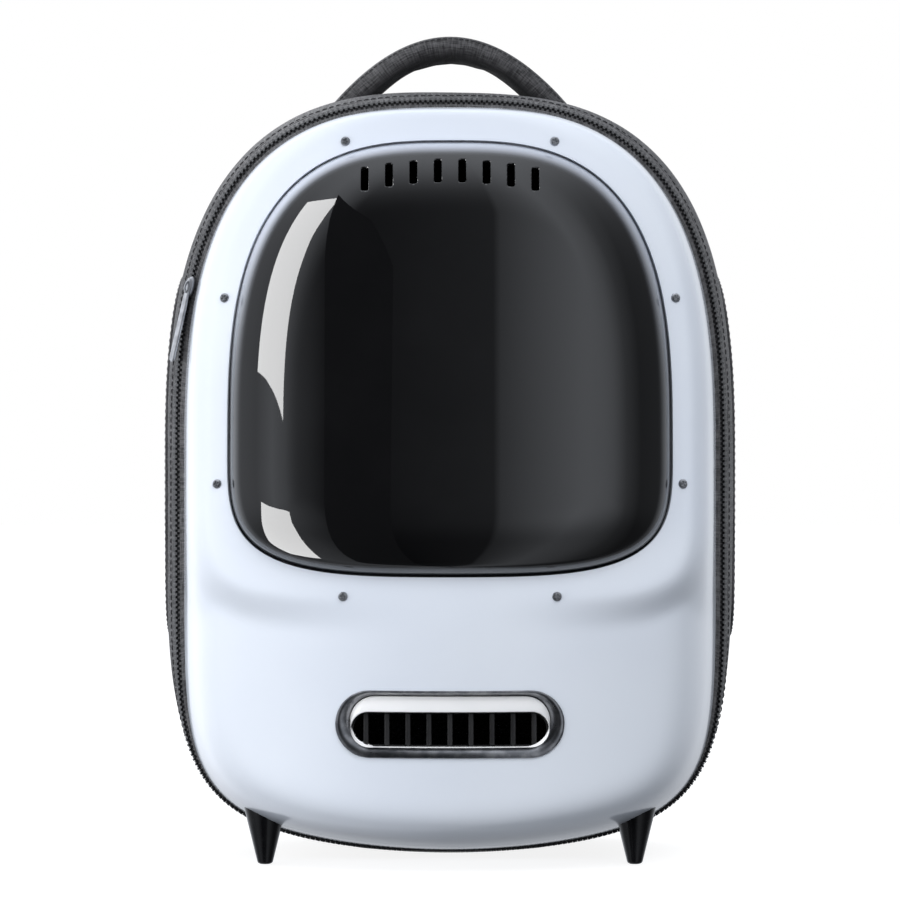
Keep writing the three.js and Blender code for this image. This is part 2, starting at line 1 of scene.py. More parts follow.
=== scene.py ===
# Looks of the pet carrier backpack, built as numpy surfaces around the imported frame
import math

import bmesh
import bpy
import numpy as np
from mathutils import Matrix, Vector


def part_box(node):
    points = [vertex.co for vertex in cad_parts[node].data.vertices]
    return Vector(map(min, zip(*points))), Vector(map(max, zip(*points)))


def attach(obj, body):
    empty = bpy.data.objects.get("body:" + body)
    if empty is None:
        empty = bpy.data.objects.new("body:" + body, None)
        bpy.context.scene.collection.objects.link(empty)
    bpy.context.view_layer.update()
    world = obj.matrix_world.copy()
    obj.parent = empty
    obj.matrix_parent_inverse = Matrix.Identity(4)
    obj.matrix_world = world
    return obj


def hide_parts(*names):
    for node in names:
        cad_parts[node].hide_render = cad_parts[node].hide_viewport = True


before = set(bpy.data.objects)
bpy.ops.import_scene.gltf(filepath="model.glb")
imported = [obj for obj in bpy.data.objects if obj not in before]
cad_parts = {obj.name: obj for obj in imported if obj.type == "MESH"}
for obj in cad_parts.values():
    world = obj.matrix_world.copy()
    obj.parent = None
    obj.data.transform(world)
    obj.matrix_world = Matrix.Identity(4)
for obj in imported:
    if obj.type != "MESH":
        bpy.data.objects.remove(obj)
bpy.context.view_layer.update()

mm = 0.001  # sizes below are in millimetres, and meshes in metres
backDepth = 139.8  # from the shell's rear edge to the back panel
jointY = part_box("back_panel")[0].y / mm - backDepth  # the shell's rear edge in the frame


# Numbers and outlines

def smoothStep(value, low, high):
    share = np.clip((value - low) / (high - low), 0, 1)
    return share * share * (3 - 2 * share)


def mixed(low, high, share):
    return low + (high - low) * share


def softRamp(value, soft):  # zero below, the value above, rounded over soft
    return soft * np.logaddexp(0, value / soft)


def softLeast(value, most, soft):  # the smaller of the two, rounded over soft
    return -soft * np.logaddexp(-value / soft, -most / soft)


def unit(vectors):
    return vectors / np.maximum(np.linalg.norm(vectors, axis=-1, keepdims=True), 1e-9)


def eased(knots, values, at):  # smooth curve through a short table
    knots, values, at = (np.asarray(a, float) for a in (knots, values, at))
    slopes = np.gradient(values, knots)
    index = np.clip(np.searchsorted(knots, at) - 1, 0, len(knots) - 2)
    span = knots[index + 1] - knots[index]
    t = np.clip((at - knots[index]) / span, 0, 1)
    start = values[index] * (1 + 2 * t) * (1 - t) ** 2 + slopes[index] * span * t * (1 - t) ** 2
    return start + values[index + 1] * t * t * (3 - 2 * t) + slopes[index + 1] * span * t * t * (t - 1)


def grown(outline, by):
    return dict(outline, half=outline["half"] + by, top=outline["top"] + by, bottom=outline["bottom"] - by)


# Superellipse quarters, reach = (cos^p + sin^p)^(-1/p), the lower edge rising by belly towards the sides;
# u counts quarters from the right side over the crown, the left side and the foot, evenly along each
def ringAt(outline, u):
    u = np.asarray(u, float) % 4
    isUpper = u < 2
    share = 1 - np.abs(np.where(isUpper, u - 1, u - 3))
    side = np.where((u < 1) | (u > 3), 1.0, -1.0)
    turn = np.linspace(0, np.pi / 2, 900)
    ring = np.empty((len(u), 2))
    for upper in (True, False):
        power = outline["topPower" if upper else "bottomPower"]
        reach = (np.abs(np.cos(turn)) ** power + np.abs(np.sin(turn)) ** power) ** (-1 / power)
        x = outline["half"] * reach * np.cos(turn)
        end = outline["top"] if upper else outline["bottom"] + outline["belly"] * (x / outline["half"]) ** 2
        z = outline["middle"] + (end - outline["middle"]) * reach * np.sin(turn)
        length = np.concatenate([[0], np.cumsum(np.hypot(np.diff(x), np.diff(z)))])
        chosen = isUpper if upper else ~isUpper
        at = share[chosen] * length[-1]
        ring[chosen, 0] = np.interp(at, length, x) * side[chosen]
        ring[chosen, 1] = np.interp(at, length, z)
    return ring


def distanceTo(ring, x, z):  # least distance from each place to the sides of a ring
    shape = np.shape(x)
    places = np.stack([np.ravel(x), np.ravel(z)], axis=-1)
    side = np.roll(ring, -1, axis=0) - ring
    lengthSquared = (side ** 2).sum(axis=1)
    least = [np.empty(0)]
    for block in np.array_split(places, max(1, len(places) // 1500)):
        toStart = block[:, None, :] - ring[None, :, :]
        share = np.clip((toStart * side).sum(axis=-1) / lengthSquared, 0, 1)
        least.append(np.linalg.norm(toStart - share[..., None] * side, axis=-1).min(axis=1))
    return np.concatenate(least).reshape(shape)


def roundedBox(places, middle, half, corner):  # signed distance, negative inside
    past = np.abs(places - np.asarray(middle)) - (np.asarray(half) - corner)
    return np.linalg.norm(np.maximum(past, 0), axis=-1) + np.minimum(past.max(axis=-1), 0) - corner


# Meshes

def gridQuads(rows, columns, around=True, flip=False):
    row = np.arange(rows - 1)[:, None] * columns
    side = np.arange(columns if around else columns - 1)[None, :]
    after = (side + 1) % columns
    quads = np.stack([row + side, row + after, row + columns + after, row + columns + side], axis=-1)
    return quads.reshape(-1, 4)[:, ::-1] if flip else quads.reshape(-1, 4)


# Corners in the order of gridQuads, with one more u than columns where the grid is closed
def gridUv(uLine, vLine, flip=False):
    u, v = np.meshgrid(uLine, vLine)
    corner = np.stack([u, v], axis=-1)
    quads = np.stack([corner[:-1, :-1], corner[:-1, 1:], corner[1:, 1:], corner[1:, :-1]], axis=2)
    quads = quads.reshape(-1, 4, 2)
    return quads[:, ::-1] if flip else quads


def runLength(points):  # length along a line of points, starting at zero
    return np.concatenate([[0], np.cumsum(np.linalg.norm(np.diff(points, axis=0), axis=1))])


def alongLine(at, length, rows):  # values between the rows of a line, at given lengths along it
    return np.stack([np.interp(at, length, column) for column in rows.T], axis=-1)


def closedRing(points):  # the first point again at the end
    return np.concatenate([points, points[:1]])


def repeated(faces, count, size):  # the same faces for count shapes of size points each
    return (np.arange(count)[:, None, None] * size + faces[None]).reshape(-1, faces.shape[1])


def endCaps(rows, sides):  # the faces that close a tube at its first and last ring
    return [np.arange(sides)[::-1], (rows - 1) * sides + np.arange(sides)]


blockFaces = np.array([[0, 1, 3, 2], [4, 6, 7, 5], [0, 4, 5, 1], [2, 3, 7, 6], [0, 2, 6, 4], [1, 5, 7, 3]])


# Takes the faces inside an opening away and draws the corners left at its rim onto it
def openHole(flat, faces, signedDistance):
    inside = signedDistance(flat) < 0
    kept = faces[~inside[faces].all(axis=1)]
    rim = np.zeros(len(flat), bool)
    rim[kept[inside[kept]]] = True
    moved = flat.copy()
    step = 0.05
    for _ in range(3):
        places = moved[rim]
        away = signedDistance(places)
        slope = np.stack([signedDistance(places + shift) - away for shift in step * np.eye(2)], axis=-1)
        moved[rim] = places - away[:, None] * unit(slope)
    return moved, kept, rim


def addPiece(name, points, faces, finish, nodes=(), uv=None, caps=(), sharp=None, recalc=False):
    points = np.asarray(points, float).reshape(-1, 3)
    used = np.unique(np.concatenate([np.ravel(faces), *[np.ravel(cap) for cap in caps]]).astype(int))
    renumber = np.zeros(len(points), int)
    renumber[used] = np.arange(len(used))
    loops = [renumber[faces], *[renumber[np.asarray(cap)][None, :] for cap in caps]]
    mesh = bpy.data.meshes.new(name)
    placed = (points[used] + (0, jointY, 0)) * mm
    mesh.from_pydata(placed.tolist(), [], [face for group in loops for face in group.tolist()])
    if uv is not None:
        layer = mesh.uv_layers.new(name="cloth")
        corners = np.zeros((len(mesh.loops), 2), np.float32)
        corners[:uv.size // 2] = uv.reshape(-1, 2)
        layer.data.foreach_set("uv", corners.ravel())
    if recalc:
        shape = bmesh.new()
        shape.from_mesh(mesh)
        bmesh.ops.recalc_face_normals(shape, faces=shape.faces)
        shape.to_mesh(mesh)
        shape.free()
    mesh.polygons.foreach_set("use_smooth", np.ones(len(mesh.polygons), bool))
    if sharp:
        mesh.set_sharp_from_angle(angle=math.radians(sharp))
    mesh.materials.append(finish)
    piece = bpy.data.objects.new(name, mesh)
    bpy.context.scene.collection.objects.link(piece)
    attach(piece, "root")
    if nodes:
        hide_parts(*nodes)
    return piece


def pointsOf(meshData):
    points = np.empty(3 * len(meshData.vertices), np.float32)
    meshData.vertices.foreach_get("co", points)
    return points.reshape(-1, 3).astype(float)


def thicken(piece, wall, even=True):
    solid = piece.modifiers.new("wall", "SOLIDIFY")
    solid.thickness = wall * mm
    solid.offset = -1
    solid.use_even_offset = even
    solid.use_quality_normals = True


def soften(piece, width, segments=2, angle=50):
    edge = piece.modifiers.new("edge", "BEVEL")
    edge.width = width * mm
    edge.segments = segments
    edge.limit_method = "ANGLE"
    edge.angle_limit = math.radians(angle)


def subdivide(piece, levels=1):
    finer = piece.modifiers.new("finer", "SUBSURF")
    finer.levels = levels
    finer.render_levels = levels


# A superellipse section, |a|^n + |b|^n = 1, carried along a path with its width along one direction;
# scale widens or narrows it at each step
def sweep(path, widthAxis, wide, thick, square, sides, scale=None, closed=False):
    path = np.asarray(path, float)
    if closed:
        tangent = unit(np.roll(path, -1, axis=0) - np.roll(path, 1, axis=0))
    else:
        tangent = unit(np.gradient(path, axis=0))
    axis = np.broadcast_to(np.asarray(widthAxis, float), path.shape)
    flat = unit(axis - (axis * tangent).sum(axis=1, keepdims=True) * tangent)
    off = np.cross(tangent, flat)
    turn = np.linspace(0, 2 * np.pi, 721)
    reach = (np.abs(np.cos(turn)) ** square + np.abs(np.sin(turn)) ** square) ** (-1 / square)
    section = np.stack([wide / 2 * reach * np.cos(turn), thick / 2 * reach * np.sin(turn)], axis=-1)
    length = runLength(section)
    at = (np.arange(sides) + 0.5) * length[-1] / sides
    scale = np.ones(len(path)) if scale is None else np.asarray(scale)
    across = np.interp(at, length, section[:, 0])[None, :, None] * scale[:, None, None]
    up = np.interp(at, length, section[:, 1])[None, :, None] * scale[:, None, None]
    return path[:, None, :] + across * flat[:, None, :] + up * off[:, None, :]


def addSweep(name, rings, finish, nodes=(), closed=False):
    rows, sides = rings.shape[:2]
    around = runLength(closedRing(rings[0]))
    along = runLength(rings.mean(axis=1))
    faces = gridQuads(rows, sides)
    uv = gridUv(around, along)
    caps = []
    if closed:
        last = (rows - 1) * sides + np.arange(sides)
        first = np.arange(sides)
        joint = np.stack([last, np.roll(last, -1), np.roll(first, -1), first], axis=-1)
        faces = np.concatenate([faces, joint])
        step = np.linalg.norm(rings[0].mean(axis=0) - rings[-1].mean(axis=0))
        uv = np.concatenate([uv, gridUv(around, np.array([along[-1], along[-1] + step]))])
    else:
        caps = endCaps(rows, sides)
    return addPiece(name, rings, faces, finish, nodes, uv, caps, recalc=True)


# Rounded threads laid end to end along a line, each standing on the surface by its normal: five rings a
# thread, thinner at its ends and lifted in the middle
stitch = dict(sides=6, along=(-1, -0.8, 0, 0.8, 1), girth=(0.35, 0.9, 1, 0.9, 0.35), bend=0.7, probe=0.4)


def stitchPoints(line, normals, thread):
    length = runLength(line)
    count = max(1, int(length[-1] / thread["pitch"]))
    at = (np.arange(count) + 0.5) * length[-1] / count
    middle = alongLine(at, length, line)
    ahead, behind = (alongLine(at + step, length, line) for step in (stitch["probe"], -stitch["probe"]))
    along = unit(ahead - behind)
    out = unit(alongLine(at, length, normals))
    side = np.cross(out, along)
    share = np.array(stitch["along"])
    girth = np.array(stitch["girth"]) * thread["radius"]
    turn = 2 * np.pi * np.arange(stitch["sides"]) / stitch["sides"]
    bend = (1 - share ** 2) * thread["radius"] * stitch["bend"]
    lengthwise = share[:, None] * thread["length"] / 2 + 0 * turn
    across = girth[:, None] * np.cos(turn)
    up = girth[:, None] * np.sin(turn) + bend[:, None]
    points = middle[:, None, None, :] + lengthwise[None, ..., None] * along[:, None, None, :]
    points = points + across[None, ..., None] * side[:, None, None, :]
    points = points + up[None, ..., None] * out[:, None, None, :]
    return points.reshape(count, -1, 3)


def addStitches(name, rows):
    points = np.concatenate(rows)
    count, size = points.shape[:2]
    sides = stitch["sides"]
    faces = repeated(gridQuads(size // sides, sides), count, size)
    ends = repeated(np.array(endCaps(size // sides, sides)), count, size)
    return addPiece(name, points, faces, finishes["thread"], caps=list(ends), recalc=True)


# Shader maths: a socket that takes part in Python sums, and one method for every other node

class Shade:
    def __init__(self, tree, socket=None):
        self.tree = tree
        self.socket = socket

    def node(self, kind, settings=None, sockets=None, output=0):
        made = self.tree.nodes.new(kind)
        for name, value in (settings or {}).items():
            if name == "stops":
                elements = made.color_ramp.elements
                for index, (at, level) in enumerate(value):
                    element = elements[index] if index < 2 else elements.new(at)
                    element.position = at
                    element.color = (level, level, level, 1.0)
            else:
                setattr(made, name, value)
        for name, value in (sockets or {}).items():
            if isinstance(value, Shade):
                self.tree.links.new(value.socket, made.inputs[name])
            else:
                made.inputs[name].default_value = value
        return Shade(self.tree, made.outputs[output])

    def maths(self, operation, *values):
        return self.node("ShaderNodeMath", {"operation": operation}, dict(enumerate(values)))

    def __add__(self, other):
        return self.maths("ADD", self, other)

    def __radd__(self, other):
        return self.maths("ADD", other, self)

    def __sub__(self, other):
        return self.maths("SUBTRACT", self, other)

    def __rsub__(self, other):
        return self.maths("SUBTRACT", other, self)

    def __mul__(self, other):
        return self.maths("MULTIPLY", self, other)

    def __rmul__(self, other):
        return self.maths("MULTIPLY", other, self)

    def __truediv__(self, other):
        return self.maths("DIVIDE", self, other)

    def __pow__(self, other):
        return self.maths("POWER", self, other)

    def sine(self):
        return self.maths("SINE", self)

    def size(self):
        return self.maths("ABSOLUTE", self)

    def most(self, other):
        return self.maths("MAXIMUM", self, other)

    def ramp(self, low, high):  # 0 to 1 between two values, eased
        settings = {"interpolation_type": "SMOOTHSTEP"}
        return self.node("ShaderNodeMapRange", settings, {"Value": self, "From Min": low, "From Max": high})

    def colours(self, low, high):  # this value mixes two colours
        return self.node("ShaderNodeMix", {"data_type": "RGBA"}, {0: self, 6: low, 7: high}, 2)

    def parts(self):
        made = self.tree.nodes.new("ShaderNodeSeparateXYZ")
        self.tree.links.new(self.socket, made.inputs[0])
        return [Shade(self.tree, output) for output in made.outputs]

    def vector(self, x, y, z=0.0):
        return self.node("ShaderNodeCombineXYZ", None, {0: x, 1: y, 2: z})

    def noise(self, at, scale, detail=2.0, roughness=0.5):
        sockets = {"Vector": at, "Scale": scale, "Detail": detail, "Roughness": roughness}
        return self.node("ShaderNodeTexNoise", None, sockets)


def colour(red, green, blue):
    return (red, green, blue, 1.0)


# A material with one main shader: fixed values go on its own sockets, and links are added by the caller
def startFinish(name, fixed):
    material = bpy.data.materials.new(name)
    material.use_nodes = True
    tree = material.node_tree
    tree.nodes.clear()
    main = tree.nodes.new("ShaderNodeBsdfPrincipled")
    output = tree.nodes.new("ShaderNodeOutputMaterial")
    tree.links.new(main.outputs[0], output.inputs[0])
    for socket, value in fixed.items():
        main.inputs[socket].default_value = value
    shade = Shade(tree)
    feed = lambda socket, value: tree.links.new(value.socket, main.inputs[socket])
    return material, shade, feed


def bump(shade, height, distance, strength=1.0):
    sockets = {"Height": height, "Distance": distance * mm, "Strength": strength}
    return shade.node("ShaderNodeBump", None, sockets)


def grey(level):
    return colour(level, level, level)


# Even colour with a faint cloud, a fine orange-peel skin and handling marks
def makeMouldedPlastic(name, look):
    fixed = {"Coat Weight": look["coat"], "Coat Roughness": 0.04, "IOR": look["ior"]}
    material, shade, feed = startFinish(name, fixed)
    place = shade.node("ShaderNodeTexCoord", output="Object")
    cloud = shade.noise(place, look["cloudScale"], 3.0)
    marks = shade.noise(place, look["markScale"], 4.0, 0.65)
    feed("Base Color", cloud.ramp(0.3, 0.7).colours(look["dark"], look["light"]))
    feed("Roughness", look["smooth"] + marks.ramp(0.45, 0.75) * look["marks"])
    feed("Normal", bump(shade, shade.noise(place, look["peelScale"], 1.0), look["peel"]))
    return material


def makeMetal(name, look):  # grey metal with fine brushing and worn, smoother high spots
    material, shade, feed = startFinish(name, {"Metallic": 1.0})
    place = shade.node("ShaderNodeTexCoord", output="Object")
    x, y, z = place.parts()
    brushed = shade.vector(x * look["streakAcross"], y * 900.0, z * look["streakAlong"])
    streaks = shade.noise(brushed, 1.0, 3.0)
    wear = shade.noise(place, 180.0, 3.0)
    feed("Base Color", wear.ramp(0.35, 0.7).colours(look["dark"], look["light"]))
    feed("Roughness", look["smooth"] + streaks * look["streaks"])
    feed("Normal", bump(shade, streaks, 0.01))
    return material


# Plain weave on the cloth's own map, in millimetres: bumps where threads cross, slubs along both threads
def makeWovenCloth(name, look):
    fixed = {"Sheen Weight": look["sheen"], "Sheen Roughness": 0.45, "Specular IOR Level": 0.25}
    material, shade, feed = startFinish(name, fixed)
    u, v, _ = shade.node("ShaderNodeTexCoord", output="UV").parts()
    turn = 2 * math.pi / look["pitch"]
    crossing = (u * turn).sine() * (v * turn).sine()
    warp = shade.noise(shade.vector(u * (1 / look["pitch"]), v * look["slub"]), 1.0, 2.0)
    weft = shade.noise(shade.vector(u * look["slub"], v * (1 / look["pitch"])), 1.0, 2.0)
    worn = shade.noise(shade.vector(u * 0.02, v * 0.02), 1.0, 3.0)
    heatherAndPaintedShade = ((warp + weft) * 0.5 + crossing * 0.05 + (worn - 0.5) * 0.25).ramp(look["low"], look["high"])
    if "arch" in look:  # an arch gets painted shade below its middle line
        x, _, z = shade.node("ShaderNodeTexCoord", output="Object").parts()
        arch = look["arch"]
        line = arch["apex"] * mm - x * x * (arch["drop"] / arch["dropAt"] ** 2 / mm)
        above = (z - line) / (arch["thick"] / 2 * mm)
        heatherAndPaintedShade = heatherAndPaintedShade * (0.05 + above.ramp(-0.8, 0.6) * 0.95)
    feed("Base Color", heatherAndPaintedShade.colours(look["dark"], look["light"]))
    feed("Roughness", 0.78 + crossing * 0.08)
    feed("Normal", bump(shade, crossing * 0.5 + warp * 0.6 + weft * 0.6, look["relief"]))
    return material


# Knitted spacer cloth: round dimples in staggered rows over width and height, carried round the edges by the
# depth, with fuzzy yarn between
def makeSpacerCloth(name, look):
    fixed = {"Sheen Weight": look["sheen"], "Sheen Roughness": 0.5, "Specular IOR Level": 0.25}
    material, shade, feed = startFinish(name, fixed)
    place = shade.node("ShaderNodeTexCoord", output="Object")
    x, y, z = place.parts()
    turn = 2 * math.pi / (look["pitch"] * mm)
    rows = ((x.size() - y) * turn).sine() * ((z - y) * turn).sine()
    cloud = shade.noise(place, 45.0, 3.0)
    fuzz = shade.noise(place, 1400.0, 3.0)
    yarn = 1 - rows.ramp(look["holeEdge"], look["holeEdge"] + 0.45)
    tone = yarn * 0.62 + (fuzz - 0.5) * 0.7 + (cloud - 0.5) * 0.5 + 0.15
    feed("Base Color", tone.ramp(0.0, 1.0).colours(look["dark"], look["light"]))
    feed("Roughness", 0.8 + fuzz * 0.12)
    feed("Normal", bump(shade, yarn + fuzz * 0.25, look["relief"]))
    return material


# Open netting: round holes in staggered rows on the cloth's own map, cut by alpha, with a haze of fine yarn
def makeNetting(name, look):
    material, shade, feed = startFinish(name, {"Specular IOR Level": 0.3})
    u, v, _ = shade.node("ShaderNodeTexCoord", output="UV").parts()
    turn = 2 * math.pi / look["pitch"]
    rows = (u * turn).sine() * (v * turn).sine()
    thread = 1 - rows.ramp(look["holeEdge"], look["holeEdge"] + 0.25)
    fuzz = shade.noise(shade.vector(u, v), 3.0, 2.0)
    feed("Base Color", fuzz.colours(look["dark"], look["light"]))
    feed("Roughness", 0.6 + fuzz * 0.25)
    feed("Alpha", thread.most(look["haze"]))
    feed("Normal", bump(shade, thread + fuzz * 0.2, look["relief"]))
    return material


# Woven strap: ribs across its length and a fine herringbone, on the cloth's own map
def makeWebbing(name, look):
    fixed = {"Sheen Weight": look["sheen"], "Sheen Roughness": 0.4, "Specular IOR Level": 0.3}
    material, shade, feed = startFinish(name, fixed)
    u, v, _ = shade.node("ShaderNodeTexCoord", output="UV").parts()
    ribs = (v * (2 * math.pi / look["rib"])).sine()
    columns = (u * (2 * math.pi / look["column"])).sine()
    fuzz = shade.noise(shade.vector(u * 2.0, v * 2.0), 1.0, 3.0)
    tone = 0.45 + ribs * 0.2 + columns * ribs * 0.2 + (fuzz - 0.5) * 0.8
    feed("Base Color", tone.ramp(0.0, 1.0).colours(look["dark"], look["light"]))
    feed("Roughness", 0.62 + fuzz * 0.2)
    feed("Normal", bump(shade, ribs * 0.5 + columns * ribs * 0.35, look["relief"]))
    return material


# Clear gloss plastic tinted nearly black, with faint wipe marks and a painted highlight on its rolled edge
def makeSmokedPlastic(name, look):
    fixed = {"Coat Weight": 1.0, "Coat Roughness": 0.0, "IOR": look["ior"], "Alpha": look["alpha"],
             "Specular IOR Level": look["specular"]}
    material, shade, feed = startFinish(name, fixed)
    place = shade.node("ShaderNodeTexCoord", output="Object")
    wipes = shade.noise(place, 14.0, 4.0, 0.6)
    specks = shade.noise(place, 900.0, 1.0)
    # the edge attribute mixes in the edge colour, a painted highlight on the rolled edge
    edge = shade.node("ShaderNodeAttribute", {"attribute_name": "edge"}, output="Fac")
    feed("Base Color", edge.colours(wipes.ramp(0.3, 0.8).colours(look["dark"], look["light"]), look["edge"]))
    feed("Roughness", look["smooth"] + wipes.ramp(0.55, 0.8) * look["wipes"] + specks.ramp(0.72, 0.8) * 0.05)
    return material


finishes = {
    "shell": makeMouldedPlastic("shellWhite", dict(
        dark=colour(0.71, 0.762, 0.85), light=colour(0.76, 0.81, 0.885), coat=0.5, ior=1.5, smooth=0.16,
        marks=0.06, cloudScale=6.0, markScale=30.0, peelScale=260.0, peel=0.02)),
    "foot": makeMouldedPlastic("footBlack", dict(
        dark=colour(0.004, 0.004, 0.005), light=colour(0.008, 0.008, 0.009), coat=0.2, ior=1.4, smooth=0.2,
        marks=0.12, cloudScale=30.0, markScale=220.0, peelScale=600.0, peel=0.03)),
    "black": makeMouldedPlastic("blackPlastic", dict(
        dark=colour(0.012, 0.012, 0.013), light=colour(0.022, 0.022, 0.023), coat=0.0, ior=1.45,
        smooth=0.38, marks=0.15, cloudScale=40.0, markScale=300.0, peelScale=1800.0, peel=0.05)),
    # the window's edge colour is a painted highlight on its rolled edge
    "window": makeSmokedPlastic("windowSmoke", dict(
        dark=colour(0.0015, 0.0015, 0.0018), light=colour(0.003, 0.003, 0.0034), ior=1.5, specular=0.6,
        alpha=0.94, edge=colour(0.42, 0.45, 0.52), smooth=0.015, wipes=0.03)),
    "strip": makeMouldedPlastic("stripWhite", dict(
        dark=colour(0.93, 0.94, 0.95), light=colour(0.97, 0.97, 0.98), coat=0.4, ior=1.5, smooth=0.22,
        marks=0.05, cloudScale=30.0, markScale=90.0, peelScale=500.0, peel=0.01)),
    "steel": makeMetal("screwSteel", dict(
        dark=colour(0.30, 0.31, 0.33), light=colour(0.52, 0.53, 0.55), smooth=0.24, streaks=0.2,
        streakAcross=300.0, streakAlong=300.0)),
    "ventMetal": makeMetal("ventMetal", dict(
        dark=colour(0.20, 0.205, 0.22), light=colour(0.36, 0.365, 0.38), smooth=0.22, streaks=0.16,
        streakAcross=60.0, streakAlong=900.0)),
    "zipMetal": makeMetal("zipMetal", dict(
        dark=colour(0.38, 0.385, 0.40), light=colour(0.58, 0.585, 0.6), smooth=0.24, streaks=0.22,
        streakAcross=900.0, streakAlong=80.0)),
    "bag": makeWovenCloth("bagFabric", dict(
        dark=colour(0.022, 0.022, 0.024), light=colour(0.125, 0.124, 0.131), pitch=1.3, slub=0.07,
        low=0.38, high=0.64, sheen=0.25, relief=0.22)),
    "tape": makeWovenCloth("zipTape", dict(
        dark=colour(0.03, 0.03, 0.032), light=colour(0.15, 0.149, 0.156), pitch=0.9, slub=0.12, low=0.36,
        high=0.66, sheen=0.2, relief=0.15)),
    "back": makeSpacerCloth("backFabric", dict(
        dark=colour(0.008, 0.008, 0.009), light=colour(0.085, 0.085, 0.092), pitch=4.4, holeEdge=0.2,
        sheen=0.3, relief=0.7)),
    "net": makeNetting("sideMesh", dict(
        dark=colour(0.016, 0.016, 0.018), light=colour(0.045, 0.045, 0.049), pitch=3.0, holeEdge=0.36,
        haze=0.45, relief=0.35)),
    "webbing": makeWebbing("strapWebbing", dict(
        dark=colour(0.008, 0.008, 0.009), light=colour(0.040, 0.040, 0.043), rib=1.6, column=3.2,
        relief=0.25, sheen=0.2)),
    "thread": makeWebbing("sewingThread", dict(
        dark=colour(0.030, 0.030, 0.032), light=colour(0.080, 0.080, 0.085), rib=0.6, column=0.5,
        relief=0.05, sheen=0.0)),
}
print("finishes:", len(finishes))


# Front shell

shellOutline = dict(half=155.3, top=438, middle=227, bottom=5.4, topPower=2.9, bottomPower=7, belly=28)
windowOutline = dict(half=127, top=416.5, middle=246, bottom=169, topPower=2.9, bottomPower=4, belly=2)
rimOutline = dict(half=143, top=432.5, middle=246, bottom=152, topPower=2.9, bottomPower=6, belly=0)
shell = dict(
    wall=2.8, depth=108, creaseHeight=150, creaseSoft=8, windowLean=0.114, chinLean=0.06, windowCrown=0.0014,
    chinCrown=0.0021, rimSoft=14, reachShare=1.35, reachLeast=8, reachMost=46, rollPower=5,
    columns=480, rollRows=50, rimRows=9)
vent = dict(level=85.8, sink=-3.1, holeLength=127.2, holeHeight=35.7)
quarterTurns = np.linspace(0, 4, 1200, endpoint=False)
shellEdge = ringAt(shellOutline, quarterTurns)
windowEdge = ringAt(windowOutline, quarterTurns)
rimEdge = ringAt(rimOutline, quarterTurns)


def pastRim(x, z):  # signed distance from the flat rim's outer edge, negative on the rim
    upper = z > rimOutline["middle"]
    end = np.where(upper, rimOutline["top"], rimOutline["bottom"])
    power = np.where(upper, rimOutline["topPower"], rimOutline["bottomPower"])
    level = np.abs((z - rimOutline["middle"]) / (end - rimOutline["middle"]))
    inside = (np.abs(x) / rimOutline["half"]) ** power + level ** power < 1
    return distanceTo(rimEdge, x, z) * np.where(inside, -1, 1)


# Forward depth of the face: it leans back above and below the chin crease and crowns across its width,
# more so outside the rim
def faceDepth(x, z, outside):
    above = softRamp(z - shell["creaseHeight"], shell["creaseSoft"])
    below = softRamp(shell["creaseHeight"] - z, shell["creaseSoft"])
    crown = mixed(shell["windowCrown"], shell["chinCrown"], outside)
    return shell["depth"] - shell["windowLean"] * above - shell["chinLean"] * below - crown * x * x


# The face rolled back to nothing at the outline: depth times 1 - (1 - edge/reach)^power
def shellDepth(x, z):
    edge = distanceTo(shellEdge, x, z)
    past = pastRim(x, z)
    room = shell["reachShare"] * (edge + past)
    reach = np.maximum(softLeast(room, shell["reachMost"], 2.5), shell["reachLeast"])
    roll = 1 - np.maximum(0, 1 - edge / reach) ** shell["rollPower"]
    outside = smoothStep(past, -shell["rimSoft"] / 2, shell["rimSoft"])
    return faceDepth(x, z, outside) * roll


def onShell(x, z, lift=0.0):
    x, z = np.broadcast_arrays(np.asarray(x, float), np.asarray(z, float))
    return np.stack([x, -shellDepth(x, z) - lift, z], axis=-1)


def shellNormal(x, z):
    step = 0.8
    across = onShell(x + step, z) - onShell(x - step, z)
    up = onShell(x, z + step) - onShell(x, z - step)
    return unit(np.cross(across, up))


def pillDistance(places, length, height, level):
    return roundedBox(places, (0, level), (length / 2, height / 2), height / 2 - 0.01)


def makeShell():
    u = np.linspace(0, 4, shell["columns"], endpoint=False)
    outer = ringAt(shellOutline, u)
    rim = ringAt(rimOutline, u)
    opening = ringAt(windowOutline, u)
    shares = np.linspace(0, 1, shell["rollRows"]) ** 1.7
    rows = [mixed(outer, rim, share) for share in shares]
    for share in np.linspace(1, 0, shell["rimRows"])[1:]:
        rows.append(mixed(opening, rim, share))
    flat = np.stack(rows)
    faces = gridQuads(len(rows), shell["columns"])
    hole = lambda places: pillDistance(places, vent["holeLength"], vent["holeHeight"], vent["level"])
    flat, faces, _ = openHole(flat.reshape(-1, 2), faces, hole)
    points = onShell(flat[:, 0], flat[:, 1])
    piece = addPiece("shellMoulding", points, faces, finishes["shell"], ["front_shell"])
    thicken(piece, shell["wall"])
    soften(piece, 0.8, 3, 60)


makeShell()
print("shell: moulding")


# Bubble window

# Five of the numbers place the painted highlight on the rolled edge: the distances in from it where it is
# full and where it ends, the heights between which it grows, and its least share below them
bubble = dict(
    gap=1.2, wall=2.4, flange=9, behind=3.5, rise=17, roll=40, rollPower=2.4, lip=6.5, proud=4.2, centre=262,
    crownColumns=190, crownSpan=0.27, sideColumns=260, highlightFull=1.4, highlightEnd=8.5, highlightLow=265, highlightHigh=390,
    highlightLeast=0.05, lipRows=14, fineFrom=7.2, fineTo=28, fineStep=0.8, coarseFrom=28.6, coarseRows=44,
    capRun=3, flangeGap=1.2, flangeShares=(0, 0.5, 0.9), skirtShares=(0.5, 0.2))
slots = dict(count=8, pitch=13.8, width=4.5, height=13.6, corner=1.1, level=398.5, droop=0.002)


